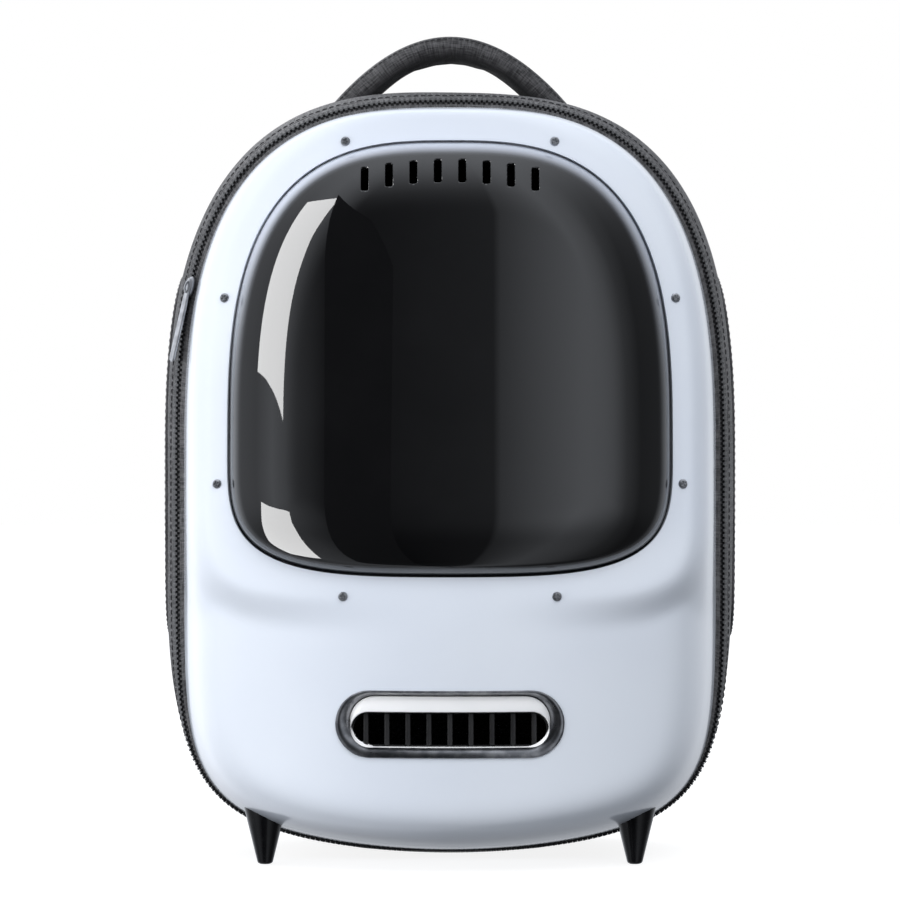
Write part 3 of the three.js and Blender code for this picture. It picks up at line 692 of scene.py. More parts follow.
# Face depth plus a rise that rounds over the rolled edge, rise times 1 - (1 - inside/roll)^power,
# with a quarter-round lip at the very edge
def bubbleDepth(x, z):
    inside = np.maximum(0, distanceTo(windowEdge, x, z) - bubble["gap"])
    rise = 1 - np.maximum(0, 1 - inside / bubble["roll"]) ** bubble["rollPower"]
    lip = bubble["lip"] * (1 - np.sqrt(1 - np.clip(1 - inside / bubble["lip"], 0, 1) ** 2))
    return faceDepth(x, z, 0) + bubble["rise"] * rise + bubble["proud"] - lip


def slotDistance(places):
    x = slots["pitch"] * (np.arange(slots["count"]) - (slots["count"] - 1) / 2)
    z = slots["level"] - slots["droop"] * x * x
    half = (slots["width"] / 2, slots["height"] / 2)
    return np.min([roundedBox(places, middle, half, slots["corner"]) for middle in zip(x, z)], axis=0)


def markEdgeHighlight(piece):  # how strong the painted highlight on the rolled edge is, most along the crown and fading down both sides
    places = pointsOf(piece.data) / mm
    inside = distanceTo(windowEdge, places[:, 0], places[:, 2]) - bubble["gap"]
    near = (1 - smoothStep(inside, bubble["highlightFull"], bubble["highlightEnd"])) ** 1.6
    level = smoothStep(places[:, 2], bubble["highlightLow"], bubble["highlightHigh"])
    layer = piece.data.attributes.new("edge", "FLOAT", "POINT")
    layer.data.foreach_set("value", (near * mixed(bubble["highlightLeast"], 1, level)).astype(np.float32))


def makeWindow():
    span = bubble["crownSpan"]
    crown = np.linspace(1 - span, 1 + span, bubble["crownColumns"], endpoint=False)
    rest = np.linspace(1 + span, 5 - span, bubble["sideColumns"], endpoint=False)
    u = np.concatenate([crown, rest])
    columns = len(u)
    edge = ringAt(grown(windowOutline, -bubble["gap"]), u)
    hidden = ringAt(grown(windowOutline, bubble["flange"]), u)
    crownRun = windowOutline["top"] - bubble["gap"] - bubble["centre"]
    lipSteps = bubble["lip"] * (1 - np.cos(np.linspace(0, np.pi / 2, bubble["lipRows"])))
    fineSteps = np.arange(bubble["fineFrom"], bubble["fineTo"], bubble["fineStep"])
    coarseSteps = np.linspace(bubble["coarseFrom"], crownRun - bubble["capRun"], bubble["coarseRows"])
    steps = np.concatenate([lipSteps, fineSteps, coarseSteps])
    centre = np.array([0, bubble["centre"]])
    flat = np.stack([mixed(edge, centre, step / crownRun) for step in steps])
    dome = np.stack([flat[..., 0], -bubbleDepth(flat[..., 0], flat[..., 1]), flat[..., 1]], axis=-1)

    def heldBack(ring, by):  # a ring set back from the face
        return np.stack([ring[:, 0], by - faceDepth(ring[:, 0], ring[:, 1], 0), ring[:, 1]], axis=-1)

    behind, under = bubble["behind"], bubble["lip"] - bubble["proud"]
    flange = [mixed(hidden, edge, share) for share in bubble["flangeShares"]]
    skirt = [heldBack(ring, behind + bubble["flangeGap"]) for ring in flange]
    skirt += [heldBack(edge, under + behind * share) for share in bubble["skirtShares"]]
    grid = np.concatenate([np.stack(skirt), dome])
    faces = gridQuads(len(grid), columns)
    points = grid.reshape(-1, 3)
    moved, faces, rim = openHole(points[:, [0, 2]], faces, slotDistance)
    points[rim, 0] = moved[rim, 0]
    points[rim, 2] = moved[rim, 1]
    points[rim, 1] = -bubbleDepth(moved[rim, 0], moved[rim, 1])
    cap = (len(grid) - 1) * columns + np.arange(columns)
    piece = addPiece("windowBubble", points, faces, finishes["window"], ["window"],
                     caps=[cap])
    # paint the highlight on the rolled edge
    markEdgeHighlight(piece)
    thicken(piece, bubble["wall"], even=False)


makeWindow()
print("window: bubble with", slots["count"], "slots")


# Window screws: domed heads with a cross recess

screw = dict(
    head=2.7, rise=1.7, seat=-0.2, crossWide=0.75, crossLong=3.0, crossDeep=0.9, rows=16, sides=40, twist=0.4)
screwPlaces = [(59.5, 416), (128.8, 327), (132.6, 221), (60.4, 158)]


def makeScrew(number, x, z):
    share = np.linspace(0, 1, screw["rows"])[:, None]
    twist = screw["twist"] * number
    turn = 2 * np.pi * np.arange(screw["sides"])[None, :] / screw["sides"] + twist
    radius = screw["head"] * np.sqrt(np.maximum(0, 1 - share ** 2.2)) + 0.02
    height = mixed(screw["seat"], screw["rise"], share ** 0.8) + 0 * turn
    along, across = radius * np.cos(turn - twist), radius * np.sin(turn - twist)
    arm = lambda a, b: smoothStep(screw["crossWide"] / 2 - np.abs(b), -0.15, 0.15) * smoothStep(
        screw["crossLong"] / 2 - np.abs(a), -0.2, 0.2)
    height = height - screw["crossDeep"] * np.maximum(arm(along, across), arm(across, along)) * (share > 0.3)
    normal = shellNormal(np.array([x]), np.array([z]))[0]
    right = unit(np.cross(np.array([0, 0, 1.0]), -normal))
    up = np.cross(-normal, right)
    centre = onShell(np.array([x]), np.array([z]))[0]
    flatX, flatZ = radius * np.cos(turn), radius * np.sin(turn)
    points = centre + flatX[..., None] * right + flatZ[..., None] * up + height[..., None] * normal
    size = screw["rows"], screw["sides"]
    addPiece(f"screwHead{number}", points, gridQuads(*size), finishes["steel"],
             [f"window_screw_{number}"], caps=endCaps(*size), recalc=True)


screwSpots = [(side * x, z) for side in (1, -1) for x, z in screwPlaces]
for number, (x, z) in enumerate(screwSpots, start=1):
    makeScrew(number, x, z)
print("screws:", len(screwSpots))


# Air inlet: pill-shaped rings that follow the shell's face, from short profiles of length, height, lift and
# share of the sink, by which a ring sits below the inlet's own level

ventRim = dict(columns=220, profile=[
    (127.0, 35.6, -4, 0), (128.6, 37.1, -0.3, 0), (129.6, 38.1, 0.1, 0), (129.8, 38.3, 0.7, 0),
    (129.2, 37.7, 1.25, 0), (127.6, 36.3, 1.5, -0.1), (125.0, 34.6, 1.3, -0.25), (121.8, 32.8, 0.5, -0.4),
    (118.4, 31.2, -0.9, -0.5), (115.4, 29.8, -2.3, -0.5), (113.9, 29.3, -3.4, -0.5),
    (113.8, 29.2, -5.5, -0.5)])
ventStrip = dict(columns=220, profile=[
    (113.4, 28.8, -4.6, -0.45), (113.4, 28.8, -3.3, -0.45), (113.0, 28.4, -2.9, -0.45),
    (112.7, 21.4, -1.2, 0.85), (112.4, 20.2, -1.5, 1), (112.2, 19.6, -2.4, 1), (112.0, 19.4, -4.6, 1)])
ventGrille = dict(
    columns=220, slatCount=9, slatPitch=11.9, slatWide=3.0, slatHigh=18.6, slatDeep=6.0, slatLift=-4.6,
    profile=[(113.2, 28.6, -7.4, 0), (113.2, 28.6, -4.9, 0), (110.6, 19.0, -4.9, 1),
             (109.4, 18.0, -5.6, 1), (109.2, 17.8, -7.4, 1)])


def pillRing(length, height, level, columns):  # evenly spaced along a pill outline
    radius, run = height / 2, (length - height) / 2
    turn = np.linspace(-np.pi / 2, np.pi / 2, 90)
    right = np.stack([run + radius * np.cos(turn), radius * np.sin(turn)], axis=-1)
    outline = np.concatenate([right, -right, right[:1]])
    at = runLength(outline)
    steps = np.linspace(0, at[-1], columns, endpoint=False)
    return alongLine(steps, at, outline) + (0, level)


def makePillPiece(name, size, finish, node):
    columns = size["columns"]
    rings = []
    for length, height, lift, sunk in size["profile"]:
        ring = pillRing(length, height, vent["level"] + vent["sink"] * sunk, columns)
        rings.append(onShell(ring[:, 0], ring[:, 1], lift))
    rows = len(rings)
    faces = gridQuads(rows + 1, columns)
    faces = np.where(faces >= rows * columns, faces - rows * columns, faces)
    addPiece(name, np.stack(rings), faces, finish, [node], recalc=True, sharp=38)


def addBars(name, middles, lengths, finish):
    corners = np.array([[a, b, c] for a in (-0.5, 0.5) for b in (-0.5, 0.5) for c in (-0.5, 0.5)])
    points = middles[:, None, :] + corners[None] * np.asarray(lengths)
    faces = repeated(blockFaces, len(middles), len(corners))
    return addPiece(name, points, faces, finish, recalc=True)


def makeVent():
    makePillPiece("ventRim", ventRim, finishes["ventMetal"], "vent_ring")
    makePillPiece("ventStrip", ventStrip, finishes["strip"], "vent_bezel")
    makePillPiece("ventFrame", ventGrille, finishes["black"], "vent_grille")
    size = ventGrille
    x = size["slatPitch"] * (np.arange(size["slatCount"]) - (size["slatCount"] - 1) / 2)
    middles = onShell(x, vent["level"] + vent["sink"], size["slatLift"] - size["slatDeep"] / 2)
    lengths = (size["slatWide"], size["slatDeep"], size["slatHigh"])
    slats = addBars("ventSlats", middles, lengths, finishes["black"])
    soften(slats, 0.9, 3, 30)


makeVent()
print("air inlet: rim, strip and grille")


# Front feet: tapered posts with a rounded sole, their tops let into the shell's underside

foot = dict(x=107, depth=-30, sole=4.2, taper=0.246, top=33, round=1.4, columns=48, rows=26)


def makeFoot(side, word):
    height = np.linspace(0, 1, foot["rows"])[:, None] ** 1.2 * foot["top"]
    turn = 2 * np.pi * np.arange(foot["columns"])[None, :] / foot["columns"]
    corner = foot["round"] * (1 - np.sqrt(1 - np.clip(1 - height / foot["round"], 0, 1) ** 2))
    radius = foot["sole"] + foot["taper"] * height - corner
    points = np.stack([side * foot["x"] + radius * np.cos(turn), foot["depth"] + radius * np.sin(turn),
                       height + 0 * turn], axis=-1)
    size = foot["rows"], foot["columns"]
    addPiece(f"frontFoot{word}", points, gridQuads(*size), finishes["foot"],
             [f"front_foot_{word.lower()}"], caps=endCaps(*size), recalc=True, sharp=60)


makeFoot(1, "Right")
makeFoot(-1, "Left")
print("feet: 2")


# Soft bag: sections across the depth, as swell past the shell's outline, lowest point, rise of the lower edge
# and squareness; the fabric is flat where it rests on the floor

softTopPower = 2.85
zipTable = np.array([
    (-5, -4.6, 10, 28, 7), (0.6, -4, 9.4, 28, 7), (7, 2, 5.2, 28, 6.6), (22, 8, 4.2, 28, 6)], float)
bagTable = np.array([
    (22.3, 8, 4.2, 28, 6), (40, 11.6, 1.2, 32, 5.2), (68, 12.6, -4, 38, 5), (112, 10.4, -4, 42, 5),
    (132, 6.5, -2, 42, 5), (139.5, 1.5, 3, 42, 5.5)], float)


def softSection(table, depth):
    swell, base, belly, square = (eased(table[:, 0], table[:, k], depth) for k in (1, 2, 3, 4))
    outline = grown(shellOutline, swell)
    return dict(outline, bottom=base, belly=belly, topPower=softTopPower, bottomPower=square)


def softRing(table, depth, u):
    ring = ringAt(softSection(table, depth), u)
    return np.stack([ring[:, 0], np.full(len(u), depth), np.maximum(ring[:, 1], 0)], axis=-1)


def gridNormals(grid):  # outward normals of rings that run from front to rear
    around = np.roll(grid, -1, axis=1) - np.roll(grid, 1, axis=1)
    along = np.gradient(grid, axis=0)
    return unit(np.cross(along, around))


def bagHalf(depth, z):  # half width of the bag at a depth and height
    section = softSection(bagTable, depth)
    upper = z > shellOutline["middle"]
    end = np.where(upper, section["top"], section["bottom"] + section["belly"])
    power = np.where(upper, softTopPower, section["bottomPower"])
    level = np.abs(z - shellOutline["middle"]) / np.abs(end - shellOutline["middle"])
    return section["half"] * (1 - level ** power) ** (1 / power)


def onBagSide(side, depth, z, lift=0.0):
    return np.stack([side * (bagHalf(depth, z) + lift), depth + 0 * z, z + 0 * depth], axis=-1)


def bagSideNormal(side, depth, z):
    step = 0.5
    along = onBagSide(side, depth + step, z) - onBagSide(side, depth - step, z)
    up = onBagSide(side, depth, z + step) - onBagSide(side, depth, z - step)
    return unit(np.cross(along, up)) * side


# Zip: a tape from the shell to the bag with two rows of teeth that mesh along its middle

zipBand = dict(
    columns=520, rows=26, wall=1.6, teethDepth=11.2, pitch=3.0, toothLong=1.7, toothWide=3.4, toothHigh=1.5,
    toothTaper=0.72)


def makeZip():
    u = np.linspace(0, 4, zipBand["columns"], endpoint=False)
    depths = np.linspace(zipTable[0, 0], zipTable[-1, 0], zipBand["rows"])
    grid = np.stack([softRing(zipTable, depth, u) for depth in depths])
    around = runLength(closedRing(grid[-1]))
    uv = gridUv(around, runLength(grid[:, 0]), flip=True)
    tape = addPiece("zipTape", grid, gridQuads(*grid.shape[:2], flip=True), finishes["tape"],
                    ["zip_band"], uv)
    thicken(tape, zipBand["wall"])

    # two facing rows of blocks, half a pitch apart, standing on the tape
    dense = np.linspace(0, 4, 3000, endpoint=False)
    lines = [softRing(zipTable, zipBand["teethDepth"] + shift, dense) for shift in (-0.5, 0, 0.5)]
    length = runLength(closedRing(lines[1]))
    count = int(length[-1] / zipBand["pitch"])
    at = (np.arange(2 * count) + 0.5) * length[-1] / (2 * count)
    pick = lambda line: alongLine(at, length, closedRing(line))
    spot, across = pick(lines[1]), unit(pick(lines[2]) - pick(lines[0]))
    along = unit(pick(np.roll(lines[1], -2, axis=0)) - pick(np.roll(lines[1], 2, axis=0)))
    out = unit(np.cross(across, along))
    row = np.where(np.arange(2 * count) % 2, 1.0, -1.0)
    across = across * row[:, None]
    block = np.array([(a, b, c) for a in (-0.5, 0.5) for b in (-0.12, 0.88) for c in (-0.35, 1)])
    narrow = np.where(block[:, 2] > 0.5, zipBand["toothTaper"], 1.0)
    reach = block * np.array([zipBand["toothLong"], zipBand["toothWide"], zipBand["toothHigh"]])
    points = spot[:, None, :] + (reach[:, 0] * narrow)[None, :, None] * along[:, None, :]
    points = points + reach[None, :, 1, None] * across[:, None, :] + reach[None, :, 2, None] * out[:, None, :]
    faces = repeated(blockFaces, 2 * count, len(block))
    addPiece("zipTeeth", points, faces, finishes["black"], recalc=True, sharp=30)


makeZip()
print("zip: tape and teeth")


# Gusset: the bag's fabric wall, with an opening for the mesh in each side

gusset = dict(
    columns=440, rows=66, wall=2.6, ripple=0.55, pucker=0.22, puckerPitch=9.0, seamReach=9.0, quarterRun=400,
    mapRow=30)
mesh = dict(front=52, rear=120, low=132, high=336, corner=26, hem=7, inset=3.4, sag=2.2, columns=24, rows=60,
            lay=dict(Right=0, Left=32))
thread = dict(pitch=4.2, length=3.0, radius=0.42)
ropes = np.random.default_rng(7)
meshMiddle = np.array([mesh["front"] + mesh["rear"], mesh["low"] + mesh["high"]]) / 2
meshHalf = np.array([mesh["rear"] - mesh["front"], mesh["high"] - mesh["low"]]) / 2


def meshDistance(places):
    return roundedBox(places, meshMiddle, meshHalf, mesh["corner"])


# Slow waves over the cloth and small puckers that die away from the sewn edges
def clothWaves(turn, depth):
    wave = 0 * turn
    for _ in range(7):
        a, b = ropes.uniform(2, 11), ropes.uniform(0.01, 0.06)
        wave = wave + np.sin(np.round(a) * turn * np.pi / 2 + b * depth + ropes.uniform(0, 6.3))
    toSeam = np.minimum(depth - bagTable[0, 0], bagTable[-1, 0] - depth)
    held = smoothStep(toSeam, 0, 14)
    pucker = np.sin(turn * gusset["quarterRun"] / gusset["puckerPitch"] * np.pi / 2 + 0.9 * np.sin(7 * turn))
    slow = gusset["ripple"] * wave / 3 * held
    return slow + gusset["pucker"] * pucker * np.exp(-toSeam / gusset["seamReach"])


def makeGusset():
    u = np.linspace(0, 4, gusset["columns"], endpoint=False)
    depths = mixed(bagTable[0, 0], bagTable[-1, 0], np.linspace(0, 1, gusset["rows"]))
    grid = np.stack([softRing(bagTable, depth, u) for depth in depths])
    turn, deep = np.meshgrid(u, depths)
    outward = gridNormals(grid)
    onFloor = smoothStep(grid[..., 2], 0.5, 12)
    grid = grid + (clothWaves(turn, deep) * onFloor)[..., None] * outward
    around = runLength(closedRing(grid[gusset["mapRow"]]))
    uv = gridUv(around, runLength(grid[:, 0]), flip=True)
    faces = gridQuads(*grid.shape[:2], flip=True)
    points = grid.reshape(-1, 3)
    number = np.arange(len(faces))
    code = np.array([1, 7, 49, 343])  # tells faces apart by their corners
    for side in (1, -1):
        onSide = lambda places: np.where(points[:, 0] * side > 100, meshDistance(places), 99.0)
        signed = lambda places: onSide(places) if len(places) == len(points) else meshDistance(places)
        moved, kept, rim = openHole(points[:, [1, 2]], faces, signed)
        still = np.isin(faces @ code, kept @ code)
        number, faces = number[still], faces[still]
        before = bagHalf(points[rim, 1], points[rim, 2])
        points[rim, 0] += side * (bagHalf(moved[rim, 0], moved[rim, 1]) - before)
        points[rim, 1:] = moved[rim]
    piece = addPiece("gussetFabric", points, faces, finishes["bag"], ["gusset"], uv[number])
    thicken(piece, gusset["wall"])


makeGusset()


def roundedPath(count):  # depth and height round the mesh opening
    run = meshHalf - mesh["corner"]
    turn = np.linspace(0, np.pi / 2, 40)
    quarter = mesh["corner"] * np.stack([np.cos(turn), np.sin(turn)], axis=-1) + run
    beside, below = quarter * (-1, 1), quarter * (1, -1)
    outline = closedRing(np.concatenate([quarter, beside[::-1], -quarter, below[::-1]]))
    at = runLength(outline)
    steps = np.linspace(0, at[-1], count, endpoint=False)
    return alongLine(steps, at, outline) + meshMiddle


binding = dict(wide=8.0, thick=1.9, out=2.2, square=4, sides=30, stitchStep=2.6, stitchSink=0.4, steps=220)


def makeMeshPanel(side, word):
    depth = np.linspace(mesh["front"] - mesh["hem"], mesh["rear"] + mesh["hem"], mesh["columns"])
    z = np.linspace(mesh["low"] - mesh["hem"], mesh["high"] + mesh["hem"], mesh["rows"])
    deep, high = np.meshgrid(depth, z)
    acrossTurn, upTurn = ((places - (line[0] + line[-1]) / 2) / (line[-1] - line[0]) * np.pi
                          for places, line in ((deep, depth), (high, z)))
    sag = mesh["sag"] * np.cos(acrossTurn) * np.cos(upTurn)  # deepest in the middle
    points = onBagSide(side, deep, high, -mesh["inset"])
    points[..., 0] -= side * np.maximum(sag, 0)
    flip = side > 0
    lay = math.radians(mesh["lay"][word])
    turned = np.array([(math.cos(lay), math.sin(lay)), (-math.sin(lay), math.cos(lay))])
    faces = gridQuads(len(z), len(depth), around=False, flip=flip)
    net = addPiece(f"meshPanel{word}", points, faces, finishes["net"],
                   [f"mesh_panel_{word.lower()}"], gridUv(depth, z, flip=flip) @ turned)
    thicken(net, 0.7)

    # the opening's edge is bound with a folded strip and sewn twice
    path = roundedPath(binding["steps"])
    spot = onBagSide(side, path[:, 0], path[:, 1], 0.4)
    normal = bagSideNormal(side, path[:, 0], path[:, 1])
    tangent = unit(np.roll(spot, -1, axis=0) - np.roll(spot, 1, axis=0))
    flat = np.cross(normal, tangent)
    outward = np.where(((spot - spot.mean(axis=0)) * flat).sum(axis=1, keepdims=True) > 0, flat, -flat)
    strip = sweep(spot + outward * binding["out"], outward, binding["wide"], binding["thick"],
                  binding["square"], binding["sides"], closed=True)
    addSweep(f"meshBinding{word}", strip, finishes["tape"], closed=True)
    rows = []
    for shift in (binding["out"] - binding["stitchStep"], binding["out"] + binding["stitchStep"]):
        line = spot + outward * shift + normal * (binding["thick"] / 2 - binding["stitchSink"])
        rows.append(stitchPoints(closedRing(line), closedRing(normal), thread))
    addStitches(f"meshStitches{word}", rows)


for side, word in ((1, "Right"), (-1, "Left")):
    makeMeshPanel(side, word)
print("bag: gusset and mesh panels")


# Seams round the bag: a welt at the back panel, and a row of stitches beside each sewn edge

seams = dict(
    weltDepth=139.4, weltRadius=2.3, weltColumns=420, weltSides=12, stitchDepths=(26.5, 133.0),
    stitchLift=0.15, stitchLeast=3)


def makeSeams():
    u = np.linspace(0, 4, seams["weltColumns"], endpoint=False)
    path = softRing(bagTable, bagTable[-1, 0], u)
    path[:, 1] = seams["weltDepth"]
    path[:, 2] = np.maximum(path[:, 2], seams["weltRadius"] + 0.1)  # just clear of the floor
    size = 2 * seams["weltRadius"]
    welt = sweep(path, (0, 1, 0), size, size, 2, seams["weltSides"], closed=True)
    addSweep("backWelt", welt, finishes["tape"], closed=True)
    rows = []
    fine = np.linspace(0, 4, 1600, endpoint=False)
    for depth in seams["stitchDepths"]:
        grid = np.stack([softRing(bagTable, depth + shift, fine) for shift in (-0.5, 0, 0.5)])
        normal = gridNormals(grid)[1]
        line = grid[1] + seams["stitchLift"] * normal
        raised = line[:, 2] > seams["stitchLeast"]  # none where the bag rests on the floor
        for part in np.split(np.arange(len(fine)), np.flatnonzero(np.diff(raised.astype(int))) + 1):
            if raised[part[0]] and len(part) > 8:
                rows.append(stitchPoints(line[part], normal[part], thread))
    addStitches("gussetStitches", rows)


makeSeams()
print("bag: seams")


# Padded pieces swell as stuffed cloth: pressure from inside, sewn lines held, movement capped

stuffing = dict(quality=6, frames=20)


def stuff(piece, soft, sewn):
    rest = pointsOf(piece.data)
    piece.vertex_groups.new(name="sewn").add(np.flatnonzero(np.ravel(sewn)).tolist(), 1.0, "REPLACE")
    filling = piece.modifiers.new("filling", "CLOTH")
    filling.settings.quality = stuffing["quality"]
    filling.settings.use_pressure = True
    filling.settings.uniform_pressure_force = soft["pressure"]
    filling.settings.shrink_min = -soft["slack"]
    filling.settings.effector_weights.gravity = 0
    filling.settings.vertex_group_mass = "sewn"
    filling.collision_settings.use_collision = False
    for step in range(1, stuffing["frames"] + 1):
        bpy.context.scene.frame_set(step)
    graph = bpy.context.evaluated_depsgraph_get()
    swollen = piece.evaluated_get(graph).to_mesh()
    move = pointsOf(swollen) - rest
    piece.evaluated_get(graph).to_mesh_clear()
    far = np.linalg.norm(move, axis=1, keepdims=True)
    print("stuffed:", piece.name, "moved up to", round(float(far.max()) / mm, 2), "mm")
    move = move * np.minimum(1, soft["cap"] * mm / np.maximum(far, 1e-9))
    piece.modifiers.clear()
    bpy.context.scene.frame_set(1)
    piece.data.vertices.foreach_set("co", (rest + move).astype(np.float32).ravel())
    piece.data.update()
    if soft["finer"]:
        subdivide(piece)


# Padded back: a crowned panel sewn into two columns of pads

back = dict(
    depth=backDepth, edge=4, crown=8.6, power=6, columns=104, rows=140, groove=8.0, grooveDeep=5.0,
    rowLines=(150, 250, 340), columnLine=0, tuck=2.6, tuckShare=0.993, tuckUp=1.6, least=1.5, sewn=2,
    seamHalf=140, seamLow=22, seamHigh=425, seamSteps=300, seamLift=0.1,
    soft=dict(pressure=4.0, slack=0.03, cap=1.8, fill=0.7, finer=False))
backTable = bagTable[-1]


def backOut(x, z):  # 0 at the panel's middle, 1 at its edge
    upper = z > shellOutline["middle"]
    end = np.where(upper, shellOutline["top"] + backTable[1], backTable[2])
    power = np.where(upper, softTopPower, backTable[4])
    level = np.abs(z - shellOutline["middle"]) / np.abs(end - shellOutline["middle"])
    return ((np.abs(x) / (shellOutline["half"] + backTable[1])) ** power + level ** power) ** (1 / power)


def sewnLine(x, z):  # distance to the nearest sewn channel of the back
    lines = [np.abs(x - back["columnLine"])] + [np.abs(z - row) for row in back["rowLines"]]
    return np.min(lines, axis=0)


def backRise(x, z):
    share = np.clip(1 - backOut(x, z), 0, 1)
    rise = back["edge"] + back["crown"] * (1 - (1 - share) ** back["power"])
    inner = smoothStep(share, 0.02, 0.09)
    return rise - back["grooveDeep"] * np.exp(-(sewnLine(x, z) / back["groove"]) ** 2) * inner


def onBack(x, z, lift=0.0):
    x, z = np.broadcast_arrays(np.asarray(x, float), np.asarray(z, float))
    return np.stack([x, back["depth"] + backRise(x, z) + lift, z], axis=-1)


# A square grid carried onto the panel: each square ring becomes the outline at the same share of its size
def panelGrid(section, columns, rows):
    a, b = np.meshgrid(np.linspace(-1, 1, columns), np.linspace(-1, 1, rows))
    reach = np.maximum(np.abs(a), np.abs(b))
    beside = np.abs(b) <= np.abs(a)
    tilt = np.where(beside, b, a) / np.maximum(reach, 1e-9) / 2
    turn = np.where(beside, np.where(a > 0, tilt, 2 - tilt), np.where(b > 0, 1 - tilt, 3 + tilt))
    edge = ringAt(section, turn.ravel()).reshape(rows, columns, 2)
    middle = np.array([0, section["middle"]])
    return middle + (edge - middle) * reach[..., None]


def makeBack():
    columns, rows = back["columns"], back["rows"]
    flat = panelGrid(softSection(bagTable, bagTable[-1, 0]), columns, rows)
    flat[..., 1] = np.maximum(flat[..., 1], back["least"])
    rear = onBack(flat[..., 0], flat[..., 1])
    number = np.arange(rows * columns).reshape(rows, columns)
    border = np.concatenate([number[0, :-1], number[:-1, -1], number[-1, :0:-1], number[:0:-1, 0]])
    share = back["tuckShare"]
    tucked = rear.reshape(-1, 3)[border] * (share, 0, share)
    tucked = tucked + (0, back["depth"] - back["tuck"], back["tuckUp"])
    points = np.concatenate([rear.reshape(-1, 3), tucked])
    front = rows * columns + np.arange(len(border))
    sides = np.stack([border, np.roll(border, -1), np.roll(front, -1), front], axis=-1)
    faces = np.concatenate([gridQuads(rows, columns, around=False), sides])
    piece = addPiece("backPad", points, faces, finishes["back"], ["back_panel"], caps=[front],
                     recalc=True)
    sewn = sewnLine(points[:, 0], points[:, 2]) < back["sewn"]
    sewn[border] = True
    sewn[front] = True
    stuff(piece, back["soft"], sewn)
    steps, lift = back["seamSteps"], back["seamLift"]
    out = np.tile((0.0, 1.0, 0.0), (steps, 1))
    rows = []
    for line in back["rowLines"]:  # the line under the crown is a little shorter
        x = np.linspace(-1, 1, steps) * back["seamHalf"] * np.sqrt(1 - 0.1 * (line > 300))
        rows.append(stitchPoints(onBack(x, line, lift), out, thread))
    z = np.linspace(back["seamLow"], back["seamHigh"], steps)
    rows.append(stitchPoints(onBack(back["columnLine"], z, lift), out, thread))
    addStitches("backStitches", rows)


makeBack()
print("back: padded panel")


# Carry handle: a padded arch across the top of the bag

handle = dict(
    depth=70, apex=476, drop=28.5, dropAt=54, reach=66, wide=28.4, thick=15.0, square=2.8, flare=0.22,
    steps=76, sides=44, soft=dict(pressure=3.0, slack=0.03, cap=0.8, fill=0.8, finer=True))
# The handle's cloth is given painted shade below the arch's middle line
finishes["handle"] = makeWovenCloth("handleFabricPaintedShade", dict(
    dark=colour(0.010, 0.010, 0.011), light=colour(0.118, 0.116, 0.121), pitch=1.0, slub=0.1, low=0.3,
    high=0.72, sheen=0.15, relief=0.2, arch=handle))


def handleLine(x):
    z = handle["apex"] - handle["drop"] * (x / handle["dropAt"]) ** 2
    return np.stack([x, np.full(len(x), handle["depth"]), z], axis=-1)


def makeHandle():
    x = handle["reach"] * np.linspace(-1, 1, handle["steps"])
    flare = 1 + handle["flare"] * np.abs(x / handle["reach"]) ** 2.5
    rings = sweep(handleLine(x), (0, 1, 0), handle["wide"], handle["thick"], handle["square"],
                  handle["sides"], flare)
    piece = addSweep("handlePad", rings, finishes["handle"], ["carry_handle"])
    seam = np.abs(np.abs(rings[..., 1] - handle["depth"]) - flare[:, None] * handle["wide"] / 2) < 0.9
    seam[[0, -1]] = True
    stuff(piece, handle["soft"], seam)
    rows = []
    for edge in (-1, 1):
        line = handleLine(x)
        tangent = unit(np.gradient(line, axis=0))
        up = np.cross(tangent, np.tile((0.0, 1.0, 0.0), (len(x), 1)))
        up = np.where(up[:, 2:] > 0, up, -up)
        at = line + up * (flare * handle["thick"] * 0.44)[:, None]
        at[:, 1] += edge * flare * handle["wide"] * 0.36
        rows.append(stitchPoints(at, up, dict(thread, pitch=3.4, length=2.5)))
    addStitches("handleStitches", rows)


makeHandle()
print("handle: padded arch")


# Shoulder straps: pad, adjuster, webbing and anchor on each side, as places on the back with a lift

strap = dict(
    padPath=[(52, 408, 5.8), (54, 384, 7), (62, 340, 19), (72, 285, 27), (80, 235, 27), (84, 200, 24)],
    adjusterPath=[(84.3, 199.2, 23.9), (86.6, 176.5, 21)],
    webbingPath=[(87, 173.6, 20.7), (95, 135, 14), (106, 92, 6.2), (110, 74, 5.1)],
    anchorPath=[(107, 95, 2.2), (114, 58, 2.2)],
    threading=[(8.5, -3.6), (6.2, -2.2), (4.4, 0.4), (2.4, 3.0), (0, 3.7), (-2.4, 3.0), (-4.4, 0.4),
               (-6.4, -2.4), (-9, -3.5)],
    padWide=56, padThick=8.6, padSteps=84, padSides=52, hem=6.5, webWide=25, webThick=1.8, webSteps=60,
    anchorWide=34, anchorThick=3, padSquare=4.5, endRound=0.045, endLeast=0.55, seamPinch=0.42,
    seamReach=2.6, sewn=1.6, seamLift=0.58,
    soft=dict(pressure=4.0, slack=0.04, cap=1.4, fill=0.6, finer=True))
adjuster = dict(wide=36, high=24, thick=4.4, slotWide=27, slotHigh=5, slotStep=9, corner=4, grid=1.0)


def strapLine(path, side, steps):
    knots = np.array(path, float)
    at = runLength(knots[:, :2])
    x, z, lift = (eased(at, knots[:, k], np.linspace(0, at[-1], steps)) for k in range(3))
    smooth = back["edge"] + back["crown"] * (1 - np.clip(backOut(x, z), 0, 1) ** back["power"])
    return np.stack([side * x, back["depth"] + smooth + lift, z], axis=-1)


def stripNormals(line):
    tangent = unit(np.gradient(line, axis=0))
    flat = unit(np.array([1.0, 0, 0]) - tangent[:, :1] * tangent)
    out = np.cross(tangent, flat)
    return np.where(out[:, 1:2] > 0, out, -out), np.where(flat[:, :1] > 0, flat, -flat)


